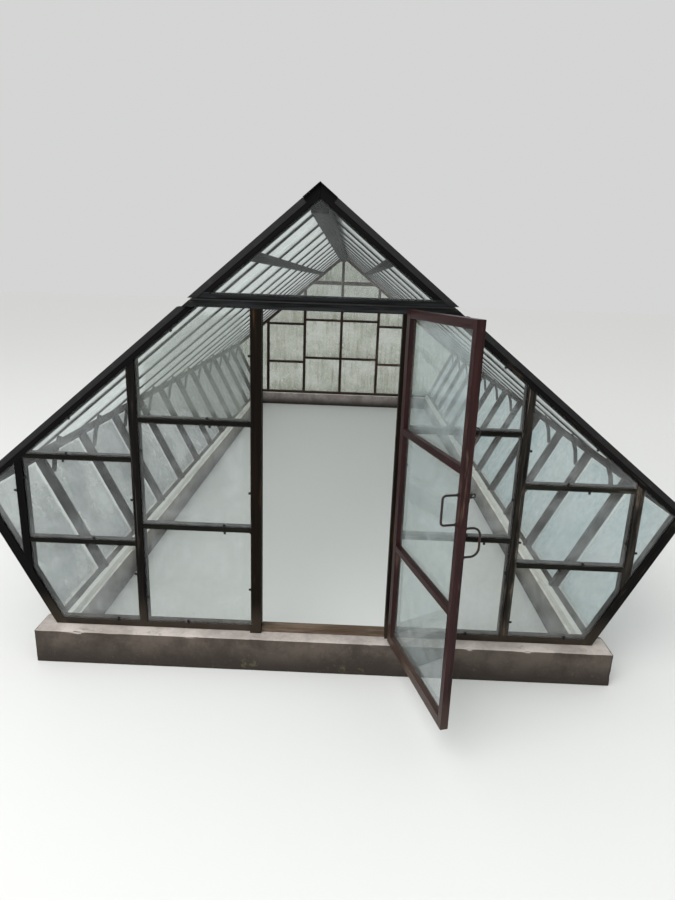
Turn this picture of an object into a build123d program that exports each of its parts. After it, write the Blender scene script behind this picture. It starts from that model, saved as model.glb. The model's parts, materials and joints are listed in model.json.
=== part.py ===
from build123d import *
import os
from math import hypot

os.makedirs("parts", exist_ok=True)

# Driving sizes, in millimetres. X runs across the house, Y runs in through the doorway
# and Z runs up. The origin is on the underside of the front foundation, on the middle
# line of the doorway, in the plane of the front wall's face.

# Shell: the outline over the outer faces of the timber frame, from the foundation's top. The
# ridge stands a little to the left of the middle line.
bay_length = 650.0
bay_count = 12
base_half_width = 1531.0
eave_half_width = 1930.0
eave_height = 809.0
ridge_height = 2392.0
ridge_offset = -75.0

# Foundation strips of concrete.
foundation_height = 200.0
foundation_width = 180.0
front_shoulder = 85.0
side_shoulder = 89.0

# Glazing bars of the side walls and the roof, T-shaped in section. Their depth is the part that
# stands inside the glass, shallow in the roof.
bar_width = 36.0
wall_bar_depth = 50.0
roof_bar_depth = 16.0
tongue_width = 14.0
rebate_depth = 12.0

# Long timbers of the side walls and the roof.
sill_width = 72.0
sill_height = 40.0
sill_lip = 10.0
plate_wall_side = 45.0
plate_roof_side = 66.0
ridge_beam_width = 90.0
ridge_beam_side = 76.0
purlin_width = 45.0
purlin_height = 35.0
right_purlin_distance = 2036.0
left_purlin_distance = 1942.0

# Gable frames.
gable_thickness = 50.0
rafter_width = 47.0
corner_post_width = 47.0
stud_width = 57.0
stud_from_eave = 270.0
stud_spacing = 633.0
rail_height = 38.0
left_outer_rails = (511.0, 995.0)
left_inner_rails = (617.0, 1213.0)
right_inner_rails = (617.0, 1213.0)
right_outer_rails = (474.0, 930.0)

# Doorway.
doorway_half_width = 351.0
door_post_width = 62.0
door_post_lead = 20.0
head_below_ridge = 590.0
head_height = 34.0
head_flashing_height = 7.0
head_flashing_reach = 8.0
gable_rail_height = 32.0
threshold_height = 30.0
threshold_depth = 60.0

# Back gable.
back_stud_width = 45.0
back_stud_spacing = 636.0
back_inner_rails = (629.0, 1284.0)
back_outer_rails = (550.0, 1205.0)
back_tie_below_ridge = 452.0
back_tie_height = 60.0

# Glass.
glass_thickness = 4.0
glass_lap = 7.0
glass_edge_gap = 1.0
tongue_gap = 1.0
eave_glass_gap = 6.0
ridge_glass_gap = 16.0

# Cover strips of bent sheet.
sheet_thickness = 3.0
ridge_cap_reach = 105.0
ridge_cap_overhang = 20.0
verge_top_width = 60.0
verge_face_drop = 26.0
verge_joint_gap = 2.0

# Knee struts, nailed to the side of a wall bar and the roof bar above it. The foot and the knee
# are measured down the wall from the eave, the head up the roof, each with its depth.
strut_width = 24.0
strut_thickness = 20.0
strut_foot_drop = 162.0
strut_foot_depth = 59.0
strut_knee_drop = 70.0
strut_knee_depth = 122.0
strut_head_rise = 215.0
strut_head_depth = 26.0

# Door leaf, hung on the right-hand post in front of the wall, drawn shut and then swung open.
leaf_thickness = 38.0
leaf_lap_hinge_side = 22.0
leaf_lap_latch_side = 8.0
leaf_head_lap = 26.0
leaf_foot_gap = 8.0
leaf_face_gap = 2.0
hinge_stile_width = 42.0
latch_stile_width = 34.0
leaf_top_rail_height = 40.0
leaf_bottom_rail_height = 50.0
leaf_mid_rail_height = 34.0
leaf_mid_rails = (590.0, 1228.0)
open_angle = 106.0

# Hinges: a bored barrel on the leaf's edge drops over a pin on the post.
lower_hinge_height = 300.0
upper_hinge_below_head = 302.0
hinge_axis_gap = 8.0
barrel_radius = 7.0
barrel_height = 40.0
pin_radius = 4.0
pin_clearance = 0.3
barrel_gap = 1.0
flap_thickness = 2.5
flap_width = 28.0
flap_height = 60.0
web_width = 5.0
edge_plate_thickness = 3.0
edge_plate_inset = 4.0

# Pull handles of bent rod, and the hasp.
handle_rod_radius = 5.0
handle_height = 130.0
handle_reach = 70.0
inner_handle_corner = 16.0
outer_handle_corner = 38.0
inner_handle_from_edge = 24.0
outer_handle_from_edge = 12.0
inner_handle_centre = 1060.0
outer_handle_centre = 915.0
hasp_height = 1120.0
hasp_plate_width = 26.0
hasp_plate_height = 46.0
hasp_tongue_reach = 17.0
hasp_tongue_height = 22.0
hasp_eye_radius = 8.5
hasp_eye_rod = 2.5
hasp_eye_reach = 24.0

# Values worked out from the driving sizes.
length = bay_length * bay_count
floor_level = foundation_height
ledge_depth = rebate_depth
door_head_level = floor_level + ridge_height - head_below_ridge
head_top = door_head_level + head_height
gable_rail_foot = head_top + head_flashing_height
gable_rail_top = gable_rail_foot + gable_rail_height


def unit(start, end):
    """Direction from one point of the section to another, with length one."""
    run = hypot(end[0] - start[0], end[1] - start[1])
    return ((end[0] - start[0]) / run, (end[1] - start[1]) / run)


def shift(point, direction, distance):
    """Point of the section moved along a direction."""
    return (point[0] + direction[0] * distance, point[1] + direction[1] * distance)


def meet(point_a, direction_a, point_b, direction_b):
    """Point where two lines of the section cross."""
    cross = direction_a[0] * direction_b[1] - direction_a[1] * direction_b[0]
    gap = (point_b[0] - point_a[0], point_b[1] - point_a[1])
    along_a = (gap[0] * direction_b[1] - gap[1] * direction_b[0]) / cross
    return shift(point_a, direction_a, along_a)


# Each half of the section is drawn on the right: the wall leans out from foot to eave and the roof
# rises to the ridge. The left half is drawn with its own ridge offset and mirrored into place.
foot = (base_half_width, floor_level)
eave = (eave_half_width, floor_level + eave_height)
wall_direction = unit(foot, eave)
wall_inward = (-wall_direction[1], wall_direction[0])
wall_length = hypot(eave[0] - foot[0], eave[1] - foot[1])
level = (1.0, 0.0)
upright = (0.0, 1.0)


def mirrored(point):
    """Point of the left half that matches one of the right half."""
    return (-point[0], point[1])


def wall_point(along, depth):
    """Point of the wall: a distance up the slope from its foot and a depth inside its outer face."""
    return shift(shift(foot, wall_direction, along), wall_inward, depth)


def wall_at_level(height, depth):
    """Point of the wall's plane at a given depth and height."""
    return meet(wall_point(0, depth), wall_direction, (0.0, height), level)


class Half:
    """Half of the section, drawn on the right, with the ridge at its own distance across."""

    def __init__(self, ridge_across):
        self.ridge = (ridge_across, floor_level + ridge_height)
        self.direction = unit(eave, self.ridge)
        self.inward = (-self.direction[1], self.direction[0])
        self.length = hypot(self.ridge[0] - eave[0], self.ridge[1] - eave[1])

    def roof_point(self, along, depth):
        """Point of the roof: a distance up the slope from the eave and a depth inside its face."""
        return shift(shift(eave, self.direction, along), self.inward, depth)

    def eave_corner(self, depth):
        """Corner where the wall and the roof planes meet at the same depth."""
        return meet(wall_point(0, depth), wall_direction, self.roof_point(0, depth), self.direction)

    def roof_at_level(self, height, depth):
        """Point of the roof's plane at a given depth and height."""
        return meet(self.roof_point(0, depth), self.direction, (0.0, height), level)

    def roof_at_offset(self, across, depth):
        """Point of the roof's plane at a given depth and distance across from the ridge."""
        return meet(self.roof_point(0, depth), self.direction, (self.ridge[0] + across, 0.0), upright)

    def apex(self, depth):
        """Point under the ridge where the two slopes meet at the same depth."""
        far_eave = mirrored(eave)
        far_direction = unit(far_eave, self.ridge)
        far_point = shift(far_eave, (far_direction[1], -far_direction[0]), depth)
        return meet(self.roof_point(0, depth), self.direction, far_point, far_direction)


right = Half(ridge_offset)
left = Half(-ridge_offset)


def outline(*points):
    """Flat face in the section plane."""
    return make_face(Polyline(*points, close=True))


def prism(face, y_low, y_high):
    """Solid made by carrying a face of the section along the house."""
    return extrude(Plane.XZ.offset(-y_low) * face, amount=y_high - y_low, dir=(0, 1, 0))


def rectangle(x_low, x_high, z_low, z_high):
    """Upright rectangle in the section plane."""
    middle = ((x_low + x_high) / 2, (z_low + z_high) / 2)
    return Pos(*middle) * Rectangle(x_high - x_low, z_high - z_low)


def block(x_low, x_high, y_low, y_high, z_low, z_high):
    """Square-cut block between its faces."""
    middle = ((x_low + x_high) / 2, (y_low + y_high) / 2, (z_low + z_high) / 2)
    return Pos(*middle) * Box(x_high - x_low, y_high - y_low, z_high - z_low)


def other_side(pieces):
    """The same pieces on the left of the house."""
    return [mirror(piece, about=Plane.YZ) for piece in pieces]


def on_both(draw):
    """Pieces that a drawing function gives for each half, each on its own side."""
    return draw(right) + other_side(draw(left))


nodes = {}


def keep(node, pieces):
    """Collects the solids of one node."""
    solids = []
    for piece in pieces:
        solids.extend(piece.solids())
    nodes[node] = Compound(label=node, children=solids)


def grown(face, amount):
    """Convex face with every edge moved out by an amount and its corners kept sharp."""
    return offset(face, amount=amount, kind=Kind.INTERSECTION)


# Foundation: front and back strips run right across, the side strips fit between them.
foundation_half = base_half_width + side_shoulder
front_inner_face = foundation_width - front_shoulder
back_outer_face = length + front_shoulder
back_inner_face = back_outer_face - foundation_width
side_inner_face = foundation_half - foundation_width
keep("front_foundation", [
    block(-foundation_half, foundation_half, -front_shoulder, front_inner_face, 0, floor_level),
])
keep("back_foundation", [
    block(-foundation_half, foundation_half, back_inner_face, back_outer_face, 0, floor_level),
])
right_strip = block(side_inner_face, foundation_half, front_inner_face, back_inner_face, 0, floor_level)
keep("side_foundations", [right_strip] + other_side([right_strip]))

# Side sills and eave plates run between the two gable frames.
frame_front = gable_thickness
frame_back = length - gable_thickness
sill_top = floor_level + sill_height
sill_inner = base_half_width - sill_width
side_sill = prism(
    outline(
        (sill_inner, floor_level),
        foot,
        wall_point(sill_lip, 0),
        wall_point(sill_lip, ledge_depth),
        wall_at_level(sill_top, ledge_depth),
        (sill_inner, sill_top),
    ),
    frame_front,
    frame_back,
)
keep("side_sills", [side_sill] + other_side([side_sill]))


def plate_corners(half):
    """Corners of the eave plate: at the eave, down the wall, up the roof and inside."""
    corner = half.eave_corner(ledge_depth)
    wall_end = shift(corner, wall_direction, -plate_wall_side)
    roof_end = shift(corner, half.direction, plate_roof_side)
    inner = shift(wall_end, half.direction, plate_roof_side)
    return corner, wall_end, roof_end, inner


def eave_plate(half):
    """Eave plate, its outer sides level with the ledges of the wall and the roof."""
    corner, wall_end, roof_end, inner = plate_corners(half)
    return [prism(outline(wall_end, corner, roof_end, inner), frame_front, frame_back)]


keep("eave_plates", on_both(eave_plate))

# Ridge beam: its top follows both slopes and its sides take the roof bars.
ridge_half = ridge_beam_width / 2
right_shoulder = right.roof_at_offset(ridge_half, ledge_depth)
left_shoulder = mirrored(left.roof_at_offset(ridge_half, ledge_depth))
beam_foot = min(right_shoulder[1], left_shoulder[1]) - ridge_beam_side
keep("ridge_beam", [
    prism(
        outline(
            right.apex(ledge_depth),
            right_shoulder,
            (right_shoulder[0], beam_foot),
            (left_shoulder[0], beam_foot),
            left_shoulder,
        ),
        frame_front,
        frame_back,
    ),
])

# Glazing bars: a wall bar's stem stands on the sill under the eave plate, a roof bar's runs from
# the plate to the ridge beam, and the tongue of each parts the panes.
wall_inner_depth = ledge_depth + wall_bar_depth
roof_inner_depth = ledge_depth + roof_bar_depth
pane_depth = ledge_depth - glass_thickness


def wall_stem(half):
    """Side of a wall bar under the panes."""
    plate_foot = plate_corners(half)[1]
    return outline(
        wall_at_level(sill_top, ledge_depth),
        plate_foot,
        meet(plate_foot, half.direction, wall_point(0, wall_inner_depth), wall_direction),
        wall_at_level(sill_top, wall_inner_depth),
    )


def roof_stem(half):
    """Side of a roof bar under the panes."""
    plate_head = plate_corners(half)[2]
    return outline(
        plate_head,
        half.roof_at_offset(ridge_half, ledge_depth),
        half.roof_at_offset(ridge_half, roof_inner_depth),
        meet(plate_head, wall_direction, half.roof_point(0, roof_inner_depth), half.direction),
    )


def wall_layer(half, outer_depth):
    """Layer of the wall from a depth down to the ledge, as long as the panes."""
    corner = half.eave_corner(ledge_depth)
    run = (corner[0] - foot[0], corner[1] - foot[1])
    top = run[0] * wall_direction[0] + run[1] * wall_direction[1] - eave_glass_gap
    return outline(
        wall_point(sill_lip, outer_depth),
        wall_point(sill_lip, ledge_depth),
        wall_point(top, ledge_depth),
        wall_point(top, outer_depth),
    )


def roof_layer(half, outer_depth):
    """Layer of the roof from a depth down to the ledge, as long as the panes."""
    end = half.length - ridge_glass_gap
    return outline(
        half.roof_point(eave_glass_gap, outer_depth),
        half.roof_point(eave_glass_gap, ledge_depth),
        half.roof_point(end, ledge_depth),
        half.roof_point(end, outer_depth),
    )


def bar(stem, tongue, y_centre):
    """T-shaped glazing bar."""
    thick = prism(stem, y_centre - bar_width / 2, y_centre + bar_width / 2)
    thin = prism(tongue, y_centre - tongue_width / 2, y_centre + tongue_width / 2)
    return thick + thin


bar_centres = [bay_length * index for index in range(1, bay_count)]


def wall_bars(half):
    """Bars of one side wall."""
    return [bar(wall_stem(half), wall_layer(half, 0), y) for y in bar_centres]


def roof_bars(half):
    """Bars of one roof slope."""
    return [bar(roof_stem(half), roof_layer(half, 0), y) for y in bar_centres]


keep("right_wall_bars", wall_bars(right))
keep("left_wall_bars", other_side(wall_bars(left)))
keep("right_roof_bars", roof_bars(right))
keep("left_roof_bars", other_side(roof_bars(left)))

# Panes of the side walls and the roof, one to a bay, between the tongues.
edge_upstand = tongue_width
pane_spans = []
for index in range(bay_count):
    bay_start = bay_length * index + tongue_width / 2 + tongue_gap
    bay_end = bay_length * (index + 1) - tongue_width / 2 - tongue_gap
    if index == 0:
        bay_start = edge_upstand + tongue_gap
    if index == bay_count - 1:
        bay_end = length - edge_upstand - tongue_gap
    pane_spans.append((bay_start, bay_end))


def panes(layer):
    """One pane of a layer in every bay."""
    return [prism(layer, low, high) for low, high in pane_spans]


keep("right_wall_glass", panes(wall_layer(right, pane_depth)))
keep("left_wall_glass", other_side(panes(wall_layer(left, pane_depth))))
keep("right_roof_glass", panes(roof_layer(right, pane_depth)))
keep("left_roof_glass", other_side(panes(roof_layer(left, pane_depth))))


def purlin(half, slope_distance):
    """Purlin under the roof bars, at a distance up the slope."""
    inner_depth = roof_inner_depth + purlin_height
    face = outline(
        half.roof_point(slope_distance, roof_inner_depth),
        half.roof_point(slope_distance + purlin_width, roof_inner_depth),
        half.roof_point(slope_distance + purlin_width, inner_depth),
        half.roof_point(slope_distance, inner_depth),
    )
    return prism(face, frame_front, frame_back)


keep("purlins", [purlin(right, right_purlin_distance)] + other_side([purlin(left, left_purlin_distance)]))


def strip(points, width):
    """Flat strip of a given width that follows a bent line."""
    line = Polyline(*points)
    return trace(line, width)


def knee_struts(half):
    """Bent struts that stand against the far side of each pair of bars."""
    strut_foot = wall_point(wall_length - strut_foot_drop, strut_foot_depth)
    strut_knee = wall_point(wall_length - strut_knee_drop, strut_knee_depth)
    strut_head = half.roof_point(strut_head_rise, strut_head_depth)
    face = strip((strut_foot, strut_knee, strut_head), strut_width)
    near_faces = [y + bar_width / 2 for y in bar_centres]
    return [prism(face, near, near + strut_thickness) for near in near_faces]


keep("knee_struts", on_both(knee_struts))

# Gable frames. A raking member has a body under the panes and an upstand at the house's end.
member_depth = ledge_depth + rafter_width
post_depth = ledge_depth + corner_post_width


def frame_corner(half):
    """Inner corner of a gable frame at the eave."""
    return meet(wall_point(0, post_depth), wall_direction, half.roof_point(0, member_depth), half.direction)


def gable_member(body, upstand, at_front):
    """Raking member of a gable, with its upstand on the outer end."""
    if at_front:
        return prism(body, 0, gable_thickness) + prism(upstand, 0, edge_upstand)
    return prism(body, frame_back, length) + prism(upstand, length - edge_upstand, length)


def corner_post(half, at_front):
    """Leaning post at the end of a side wall."""
    ledge_foot = wall_at_level(floor_level, ledge_depth)
    ledge_head = half.eave_corner(ledge_depth)
    body = outline(ledge_foot, ledge_head, frame_corner(half), wall_at_level(floor_level, post_depth))
    upstand = outline(foot, eave, ledge_head, ledge_foot)
    return gable_member(body, upstand, at_front)


def front_rafter(half):
    """Front rafter in two pieces: up to the tie beam, and from the gable's rail to the apex."""
    lower_body = outline(
        half.eave_corner(ledge_depth),
        half.roof_at_level(door_head_level, ledge_depth),
        half.roof_at_level(door_head_level, member_depth),
        frame_corner(half),
    )
    lower_upstand = outline(
        eave,
        half.roof_at_level(door_head_level, 0),
        half.roof_at_level(door_head_level, ledge_depth),
        half.eave_corner(ledge_depth),
    )
    upper_body = outline(
        half.roof_at_level(gable_rail_top, ledge_depth),
        half.apex(ledge_depth),
        half.apex(member_depth),
        half.roof_at_level(gable_rail_top, member_depth),
    )
    upper_upstand = outline(
        half.roof_at_level(gable_rail_top, 0),
        half.ridge,
        half.apex(ledge_depth),
        half.roof_at_level(gable_rail_top, ledge_depth),
    )
    return [
        gable_member(lower_body, lower_upstand, True),
        gable_member(upper_body, upper_upstand, True),
    ]


def level_face(low, high):
    """Face of a level member that runs from slope to slope between two heights."""
    return outline(
        mirrored(left.roof_at_level(low, ledge_depth)),
        right.roof_at_level(low, ledge_depth),
        right.roof_at_level(high, ledge_depth),
        mirrored(left.roof_at_level(high, ledge_depth)),
    )


# Tie beam over the doorway, the flashing on it and the bottom rail of the gable sash.
tie_beam = prism(level_face(door_head_level, head_top), -door_post_lead, gable_thickness)
gable_rail = prism(level_face(gable_rail_foot, gable_rail_top), 0, gable_thickness)
keep("tie_flashing", [
    block(
        -left.roof_at_level(gable_rail_foot, ledge_depth)[0],
        right.roof_at_level(gable_rail_foot, ledge_depth)[0],
        -door_post_lead - head_flashing_reach,
        gable_thickness,
        head_top,
        gable_rail_foot,
    ),
])

# Daylight inside the front wall's raking members, below the tie beam.
front_daylight = outline(
    mirrored(wall_at_level(floor_level, post_depth)),
    wall_at_level(floor_level, post_depth),
    frame_corner(right),
    right.roof_at_level(door_head_level, member_depth),
    mirrored(left.roof_at_level(door_head_level, member_depth)),
    mirrored(frame_corner(left)),
)
post_outer = doorway_half_width + door_post_width
stud_half = stud_width / 2
outer_stud = eave_half_width - stud_from_eave
inner_stud = outer_stud - stud_spacing
front_sills = []
for x_low, x_high in ((-eave_half_width, -post_outer), (post_outer, eave_half_width)):
    sill_face = front_daylight & rectangle(x_low, x_high, floor_level, sill_top)
    front_sills.append(prism(sill_face, 0, gable_thickness))
front_studs = []
for centre in (-outer_stud, -inner_stud, inner_stud, outer_stud):
    band = rectangle(centre - stud_half, centre + stud_half, sill_top, door_head_level)
    front_studs.append(prism(front_daylight & band, 0, gable_thickness))

# Rails between the studs, and the daylight of every pane between the rails.
bays = [
    (-eave_half_width, -outer_stud - stud_half, ()),
    (-outer_stud + stud_half, -inner_stud - stud_half, left_outer_rails),
    (-inner_stud + stud_half, -post_outer, left_inner_rails),
    (post_outer, inner_stud - stud_half, right_inner_rails),
    (inner_stud + stud_half, outer_stud - stud_half, right_outer_rails),
    (outer_stud + stud_half, eave_half_width, ()),
]


def fill_bay(daylight, x_low, x_high, rail_centres, top_level):
    """Rail faces and pane faces of one bay between two studs."""
    rail_faces = []
    pane_faces = []
    pane_foot = sill_top
    for centre in rail_centres:
        rail_foot = floor_level + centre - rail_height / 2
        rail_top = rail_foot + rail_height
        rail_faces.append(daylight & rectangle(x_low, x_high, rail_foot, rail_top))
        pane_faces.append(daylight & rectangle(x_low, x_high, pane_foot, rail_foot))
        pane_foot = rail_top
    pane_faces.append(daylight & rectangle(x_low, x_high, pane_foot, top_level))
    return rail_faces, pane_faces


front_rails = []
front_pane_faces = []
for x_low, x_high, rail_centres in bays:
    rail_faces, pane_faces = fill_bay(front_daylight, x_low, x_high, rail_centres, door_head_level)
    front_rails.extend(prism(face, 0, gable_thickness) for face in rail_faces)
    front_pane_faces.extend(pane_faces)

# Each pane of a gable lies in a rebate cut round its daylight from the outer face.
gable_rebate = rebate_depth


def front_rebate(face):
    """Room that one pane of the front wall takes out of the timbers round it."""
    return prism(grown(face, glass_lap + glass_edge_gap), -door_post_lead, gable_rebate)


def front_pane(face):
    """Pane of the front wall, bedded at the back of its rebate."""
    return prism(grown(face, glass_lap), gable_rebate - glass_thickness, gable_rebate)


gable_sash_face = outline(
    mirrored(left.roof_at_level(gable_rail_top, member_depth)),
    right.roof_at_level(gable_rail_top, member_depth),
    right.apex(member_depth),
)
wall_rebates = [front_rebate(face) for face in front_pane_faces]
all_rebates = wall_rebates + [front_rebate(gable_sash_face)]


def cut(pieces, cutters):
    """Pieces with the given room cut out of them."""
    done = []
    for piece in pieces:
        for cutter in cutters:
            piece = piece - cutter
        done.append(piece)
    return done


def post(x_low, x_high):
    """Door post: its face stands in front of the wall, and the panes beside it lie in its side."""
    return block(x_low, x_high, -door_post_lead, gable_thickness, floor_level, door_head_level)


door_posts = [post(doorway_half_width, post_outer), post(-post_outer, -doorway_half_width)]
front_corner_posts = on_both(lambda half: [corner_post(half, True)])
keep("front_sills", cut(front_sills, wall_rebates))
keep("front_studs", cut(front_studs, wall_rebates))
keep("front_rails", cut(front_rails, wall_rebates))
keep("door_posts", cut(door_posts, wall_rebates))
keep("front_tie_beam", cut([tie_beam, gable_rail], all_rebates))
keep("front_right_rafter", cut(front_rafter(right), all_rebates))
keep("front_left_rafter", cut(other_side(front_rafter(left)), all_rebates))
keep("front_corner_posts", cut(front_corner_posts, wall_rebates))
keep("front_wall_glass", [front_pane(face) for face in front_pane_faces])
keep("front_gable_glass", [front_pane(gable_sash_face)])
keep("threshold", [
    block(
        -doorway_half_width,
        doorway_half_width,
        0,
        threshold_depth,
        floor_level,
        floor_level + threshold_height,
    ),
])

# Back gable: the middle stud runs up between the rafters to the apex, and the other studs are
# spaced from it.
back_half = back_stud_width / 2
back_tie_top = floor_level + ridge_height - back_tie_below_ridge
back_tie_foot = back_tie_top - back_tie_height
back_sill = prism(
    outline(
        mirrored(wall_at_level(floor_level, post_depth)),
        wall_at_level(floor_level, post_depth),
        wall_at_level(sill_top, post_depth),
        mirrored(wall_at_level(sill_top, post_depth)),
    ),
    frame_back,
    length,
)
middle_stud = prism(
    outline(
        (ridge_offset - back_half, sill_top),
        (ridge_offset + back_half, sill_top),
        right.roof_at_offset(back_half, ledge_depth),
        right.apex(ledge_depth),
        mirrored(left.roof_at_offset(back_half, ledge_depth)),
    ),
    frame_back,
    length,
)


def back_rafter(half):
    """Back rafter, from the eave to the middle stud."""
    body = outline(
        half.eave_corner(ledge_depth),
        half.roof_at_offset(back_half, ledge_depth),
        half.roof_at_offset(back_half, member_depth),
        frame_corner(half),
    )
    upstand = outline(
        eave,
        half.roof_at_offset(back_half, 0),
        half.roof_at_offset(back_half, ledge_depth),
        half.eave_corner(ledge_depth),
    )
    return [gable_member(body, upstand, False)]


def back_daylight(half):
    """Daylight of the back gable on one side of the ridge."""
    return outline(
        (half.ridge[0], floor_level),
        wall_at_level(floor_level, post_depth),
        frame_corner(half),
        half.roof_at_offset(0, member_depth),
    )


def back_bays(half):
    """Limits across the house and rail heights of the bays on one side of the middle stud."""
    limits = []
    edge = half.ridge[0] + back_half
    for index, rail_centres in enumerate((back_inner_rails, back_outer_rails)):
        stud_centre = half.ridge[0] + back_stud_spacing * (index + 1)
        limits.append((edge, stud_centre - back_half, rail_centres))
        edge = stud_centre + back_half
    limits.append((edge, eave_half_width, ()))
    return limits


def back_side_studs(half):
    """Studs between the bays on one side."""
    studs = []
    limits = back_bays(half)
    for (_, x_low, _), (x_high, _, _) in zip(limits, limits[1:]):
        band = rectangle(x_low, x_high, sill_top, back_tie_foot)
        studs.append(prism(back_daylight(half) & band, frame_back, length))
    return studs


def back_side_rails(half):
    """Rails of the bays on one side."""
    rails = []
    for x_low, x_high, rail_centres in back_bays(half):
        rail_faces, _ = fill_bay(back_daylight(half), x_low, x_high, rail_centres, back_tie_foot)
        rails.extend(prism(face, frame_back, length) for face in rail_faces)
    return rails


def back_pane_faces(half):
    """Daylight of every pane on one side, with the one above the tie."""
    faces = []
    for x_low, x_high, rail_centres in back_bays(half):
        _, pane_faces = fill_bay(back_daylight(half), x_low, x_high, rail_centres, back_tie_foot)
        faces.extend(pane_faces)
    upper = rectangle(half.ridge[0] + back_half, eave_half_width, back_tie_top, half.ridge[1])
    faces.append(back_daylight(half) & upper)
    return faces


def back_tie(half):
    """Tie between the middle stud and the rafter."""
    band = rectangle(half.ridge[0] + back_half, eave_half_width, back_tie_foot, back_tie_top)
    return [prism(back_daylight(half) & band, frame_back, length)]


def back_rebate(face):
    """Room that one pane of the back gable takes out of the timbers round it."""
    return prism(grown(face, glass_lap + glass_edge_gap), length - gable_rebate, length)


def back_pane(face):
    """Pane of the back gable, bedded at the back of its rebate."""
    inner_face = length - gable_rebate
    return prism(grown(face, glass_lap), inner_face, inner_face + glass_thickness)


back_glass_faces = on_both(back_pane_faces)
back_rebates = [back_rebate(face) for face in back_glass_faces]
back_corner_posts = on_both(lambda half: [corner_post(half, False)])
keep("back_sill", cut([back_sill], back_rebates))
keep("back_studs", cut([middle_stud] + on_both(back_side_studs), back_rebates))
keep("back_rails", cut(on_both(back_side_rails), back_rebates))
keep("back_tie_beam", cut(on_both(back_tie), back_rebates))
keep("back_rafters", cut(on_both(back_rafter), back_rebates))
keep("back_corner_posts", cut(back_corner_posts, back_rebates))
keep("back_wall_glass", [back_pane(face) for face in back_glass_faces])


def cap_lip(half, depth):
    """Lower edge of the ridge cap on one slope."""
    return half.roof_point(half.length - ridge_cap_reach, depth)


# Ridge cap: one folded sheet on the tongues of both slopes.
keep("ridge_cap", [
    prism(
        outline(
            right.ridge,
            cap_lip(right, 0),
            cap_lip(right, -sheet_thickness),
            right.apex(-sheet_thickness),
            mirrored(cap_lip(left, -sheet_thickness)),
            mirrored(cap_lip(left, 0)),
        ),
        -ridge_cap_overhang,
        length + ridge_cap_overhang,
    ),
])


def verge_run(start, end):
    """Angle strip over the edge of one gable: a top leg on the upstand and a leg down its face.

    The two ends are functions that give the point of the cut at a depth.
    """
    outer_edge = (end(-sheet_thickness), start(-sheet_thickness))
    top = outline(start(0), end(0), *outer_edge)
    face = outline(start(verge_face_drop), end(verge_face_drop), *outer_edge)
    return prism(top, -sheet_thickness, verge_top_width) + prism(face, -sheet_thickness, 0)


def square_cut(half, along):
    """End of a strip cut square to the slope."""
    return lambda depth: half.roof_point(along, depth)


def level_cut(half, height):
    """End of a strip cut level."""
    return lambda depth: half.roof_at_level(height, depth)


def verge_head(half):
    """Upper end of a verge strip, just short of the ridge cap."""
    return square_cut(half, half.length - ridge_cap_reach - verge_joint_gap)


def front_verge(half):
    """Verge strips of the front, which stop at the tie beam."""
    return [
        verge_run(square_cut(half, 0), level_cut(half, door_head_level - verge_joint_gap)),
        verge_run(level_cut(half, gable_rail_foot + verge_joint_gap), verge_head(half)),
    ]


def back_verge(half):
    """Verge strip of the back, which runs through."""
    return [Pos(0, length, 0) * mirror(verge_run(square_cut(half, 0), verge_head(half)), about=Plane.XZ)]


keep("front_verge_strips", on_both(front_verge))
keep("back_verge_strips", on_both(back_verge))

# Door leaf, drawn shut. Its inner face lies just in front of the posts.
leaf_back = -door_post_lead - leaf_face_gap
leaf_front = leaf_back - leaf_thickness
leaf_right = doorway_half_width + leaf_lap_hinge_side
leaf_left = -doorway_half_width - leaf_lap_latch_side
leaf_foot = floor_level + leaf_foot_gap
leaf_head = door_head_level + leaf_head_lap
hinge_x = leaf_right + hinge_axis_gap
hinge_y = (leaf_back + leaf_front) / 2
stile_inner_right = leaf_right - hinge_stile_width
stile_inner_left = leaf_left + latch_stile_width
hinge_line = Axis((hinge_x, hinge_y, 0), (0, 0, 1))


def swung(pieces):
    """Door pieces turned about the hinges to where the door stands open."""
    return [piece.rotate(hinge_line, open_angle) for piece in pieces]


rail_spans = [(leaf_foot, leaf_foot + leaf_bottom_rail_height)]
for centre in leaf_mid_rails:
    rail_foot = floor_level + centre - leaf_mid_rail_height / 2
    rail_spans.append((rail_foot, rail_foot + leaf_mid_rail_height))
rail_spans.append((leaf_head - leaf_top_rail_height, leaf_head))
door_stiles = [
    block(stile_inner_right, leaf_right, leaf_front, leaf_back, leaf_foot, leaf_head),
    block(leaf_left, stile_inner_left, leaf_front, leaf_back, leaf_foot, leaf_head),
]
door_rails = []
for low, high in rail_spans:
    door_rails.append(block(stile_inner_left, stile_inner_right, leaf_front, leaf_back, low, high))
door_rebates = []
door_panes = []
for (_, low), (high, _) in zip(rail_spans, rail_spans[1:]):
    daylight = rectangle(stile_inner_left, stile_inner_right, low, high)
    room = grown(daylight, glass_lap + glass_edge_gap)
    door_rebates.append(prism(room, leaf_front, leaf_front + gable_rebate))
    pane_back = leaf_front + gable_rebate
    door_panes.append(prism(grown(daylight, glass_lap), pane_back - glass_thickness, pane_back))
keep("door_stiles", swung(cut(door_stiles, door_rebates)))
keep("door_rails", swung(cut(door_rails, door_rebates)))
keep("door_glass", swung(door_panes))


def pull(face_y, away, from_edge, centre, corner):
    """Handle of bent rod that stands off one face of the leaf."""
    x = leaf_left + from_edge
    tip_y = face_y + away * handle_reach
    low = floor_level + centre - handle_height / 2
    high = low + handle_height
    turns = ((x, face_y, low), (x, tip_y, low), (x, tip_y, high), (x, face_y, high))
    path = FilletPolyline(*turns, radius=corner)
    section = Plane(origin=path @ 0, z_dir=path % 0) * Circle(handle_rod_radius)
    return sweep(section, path=path)


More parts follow.
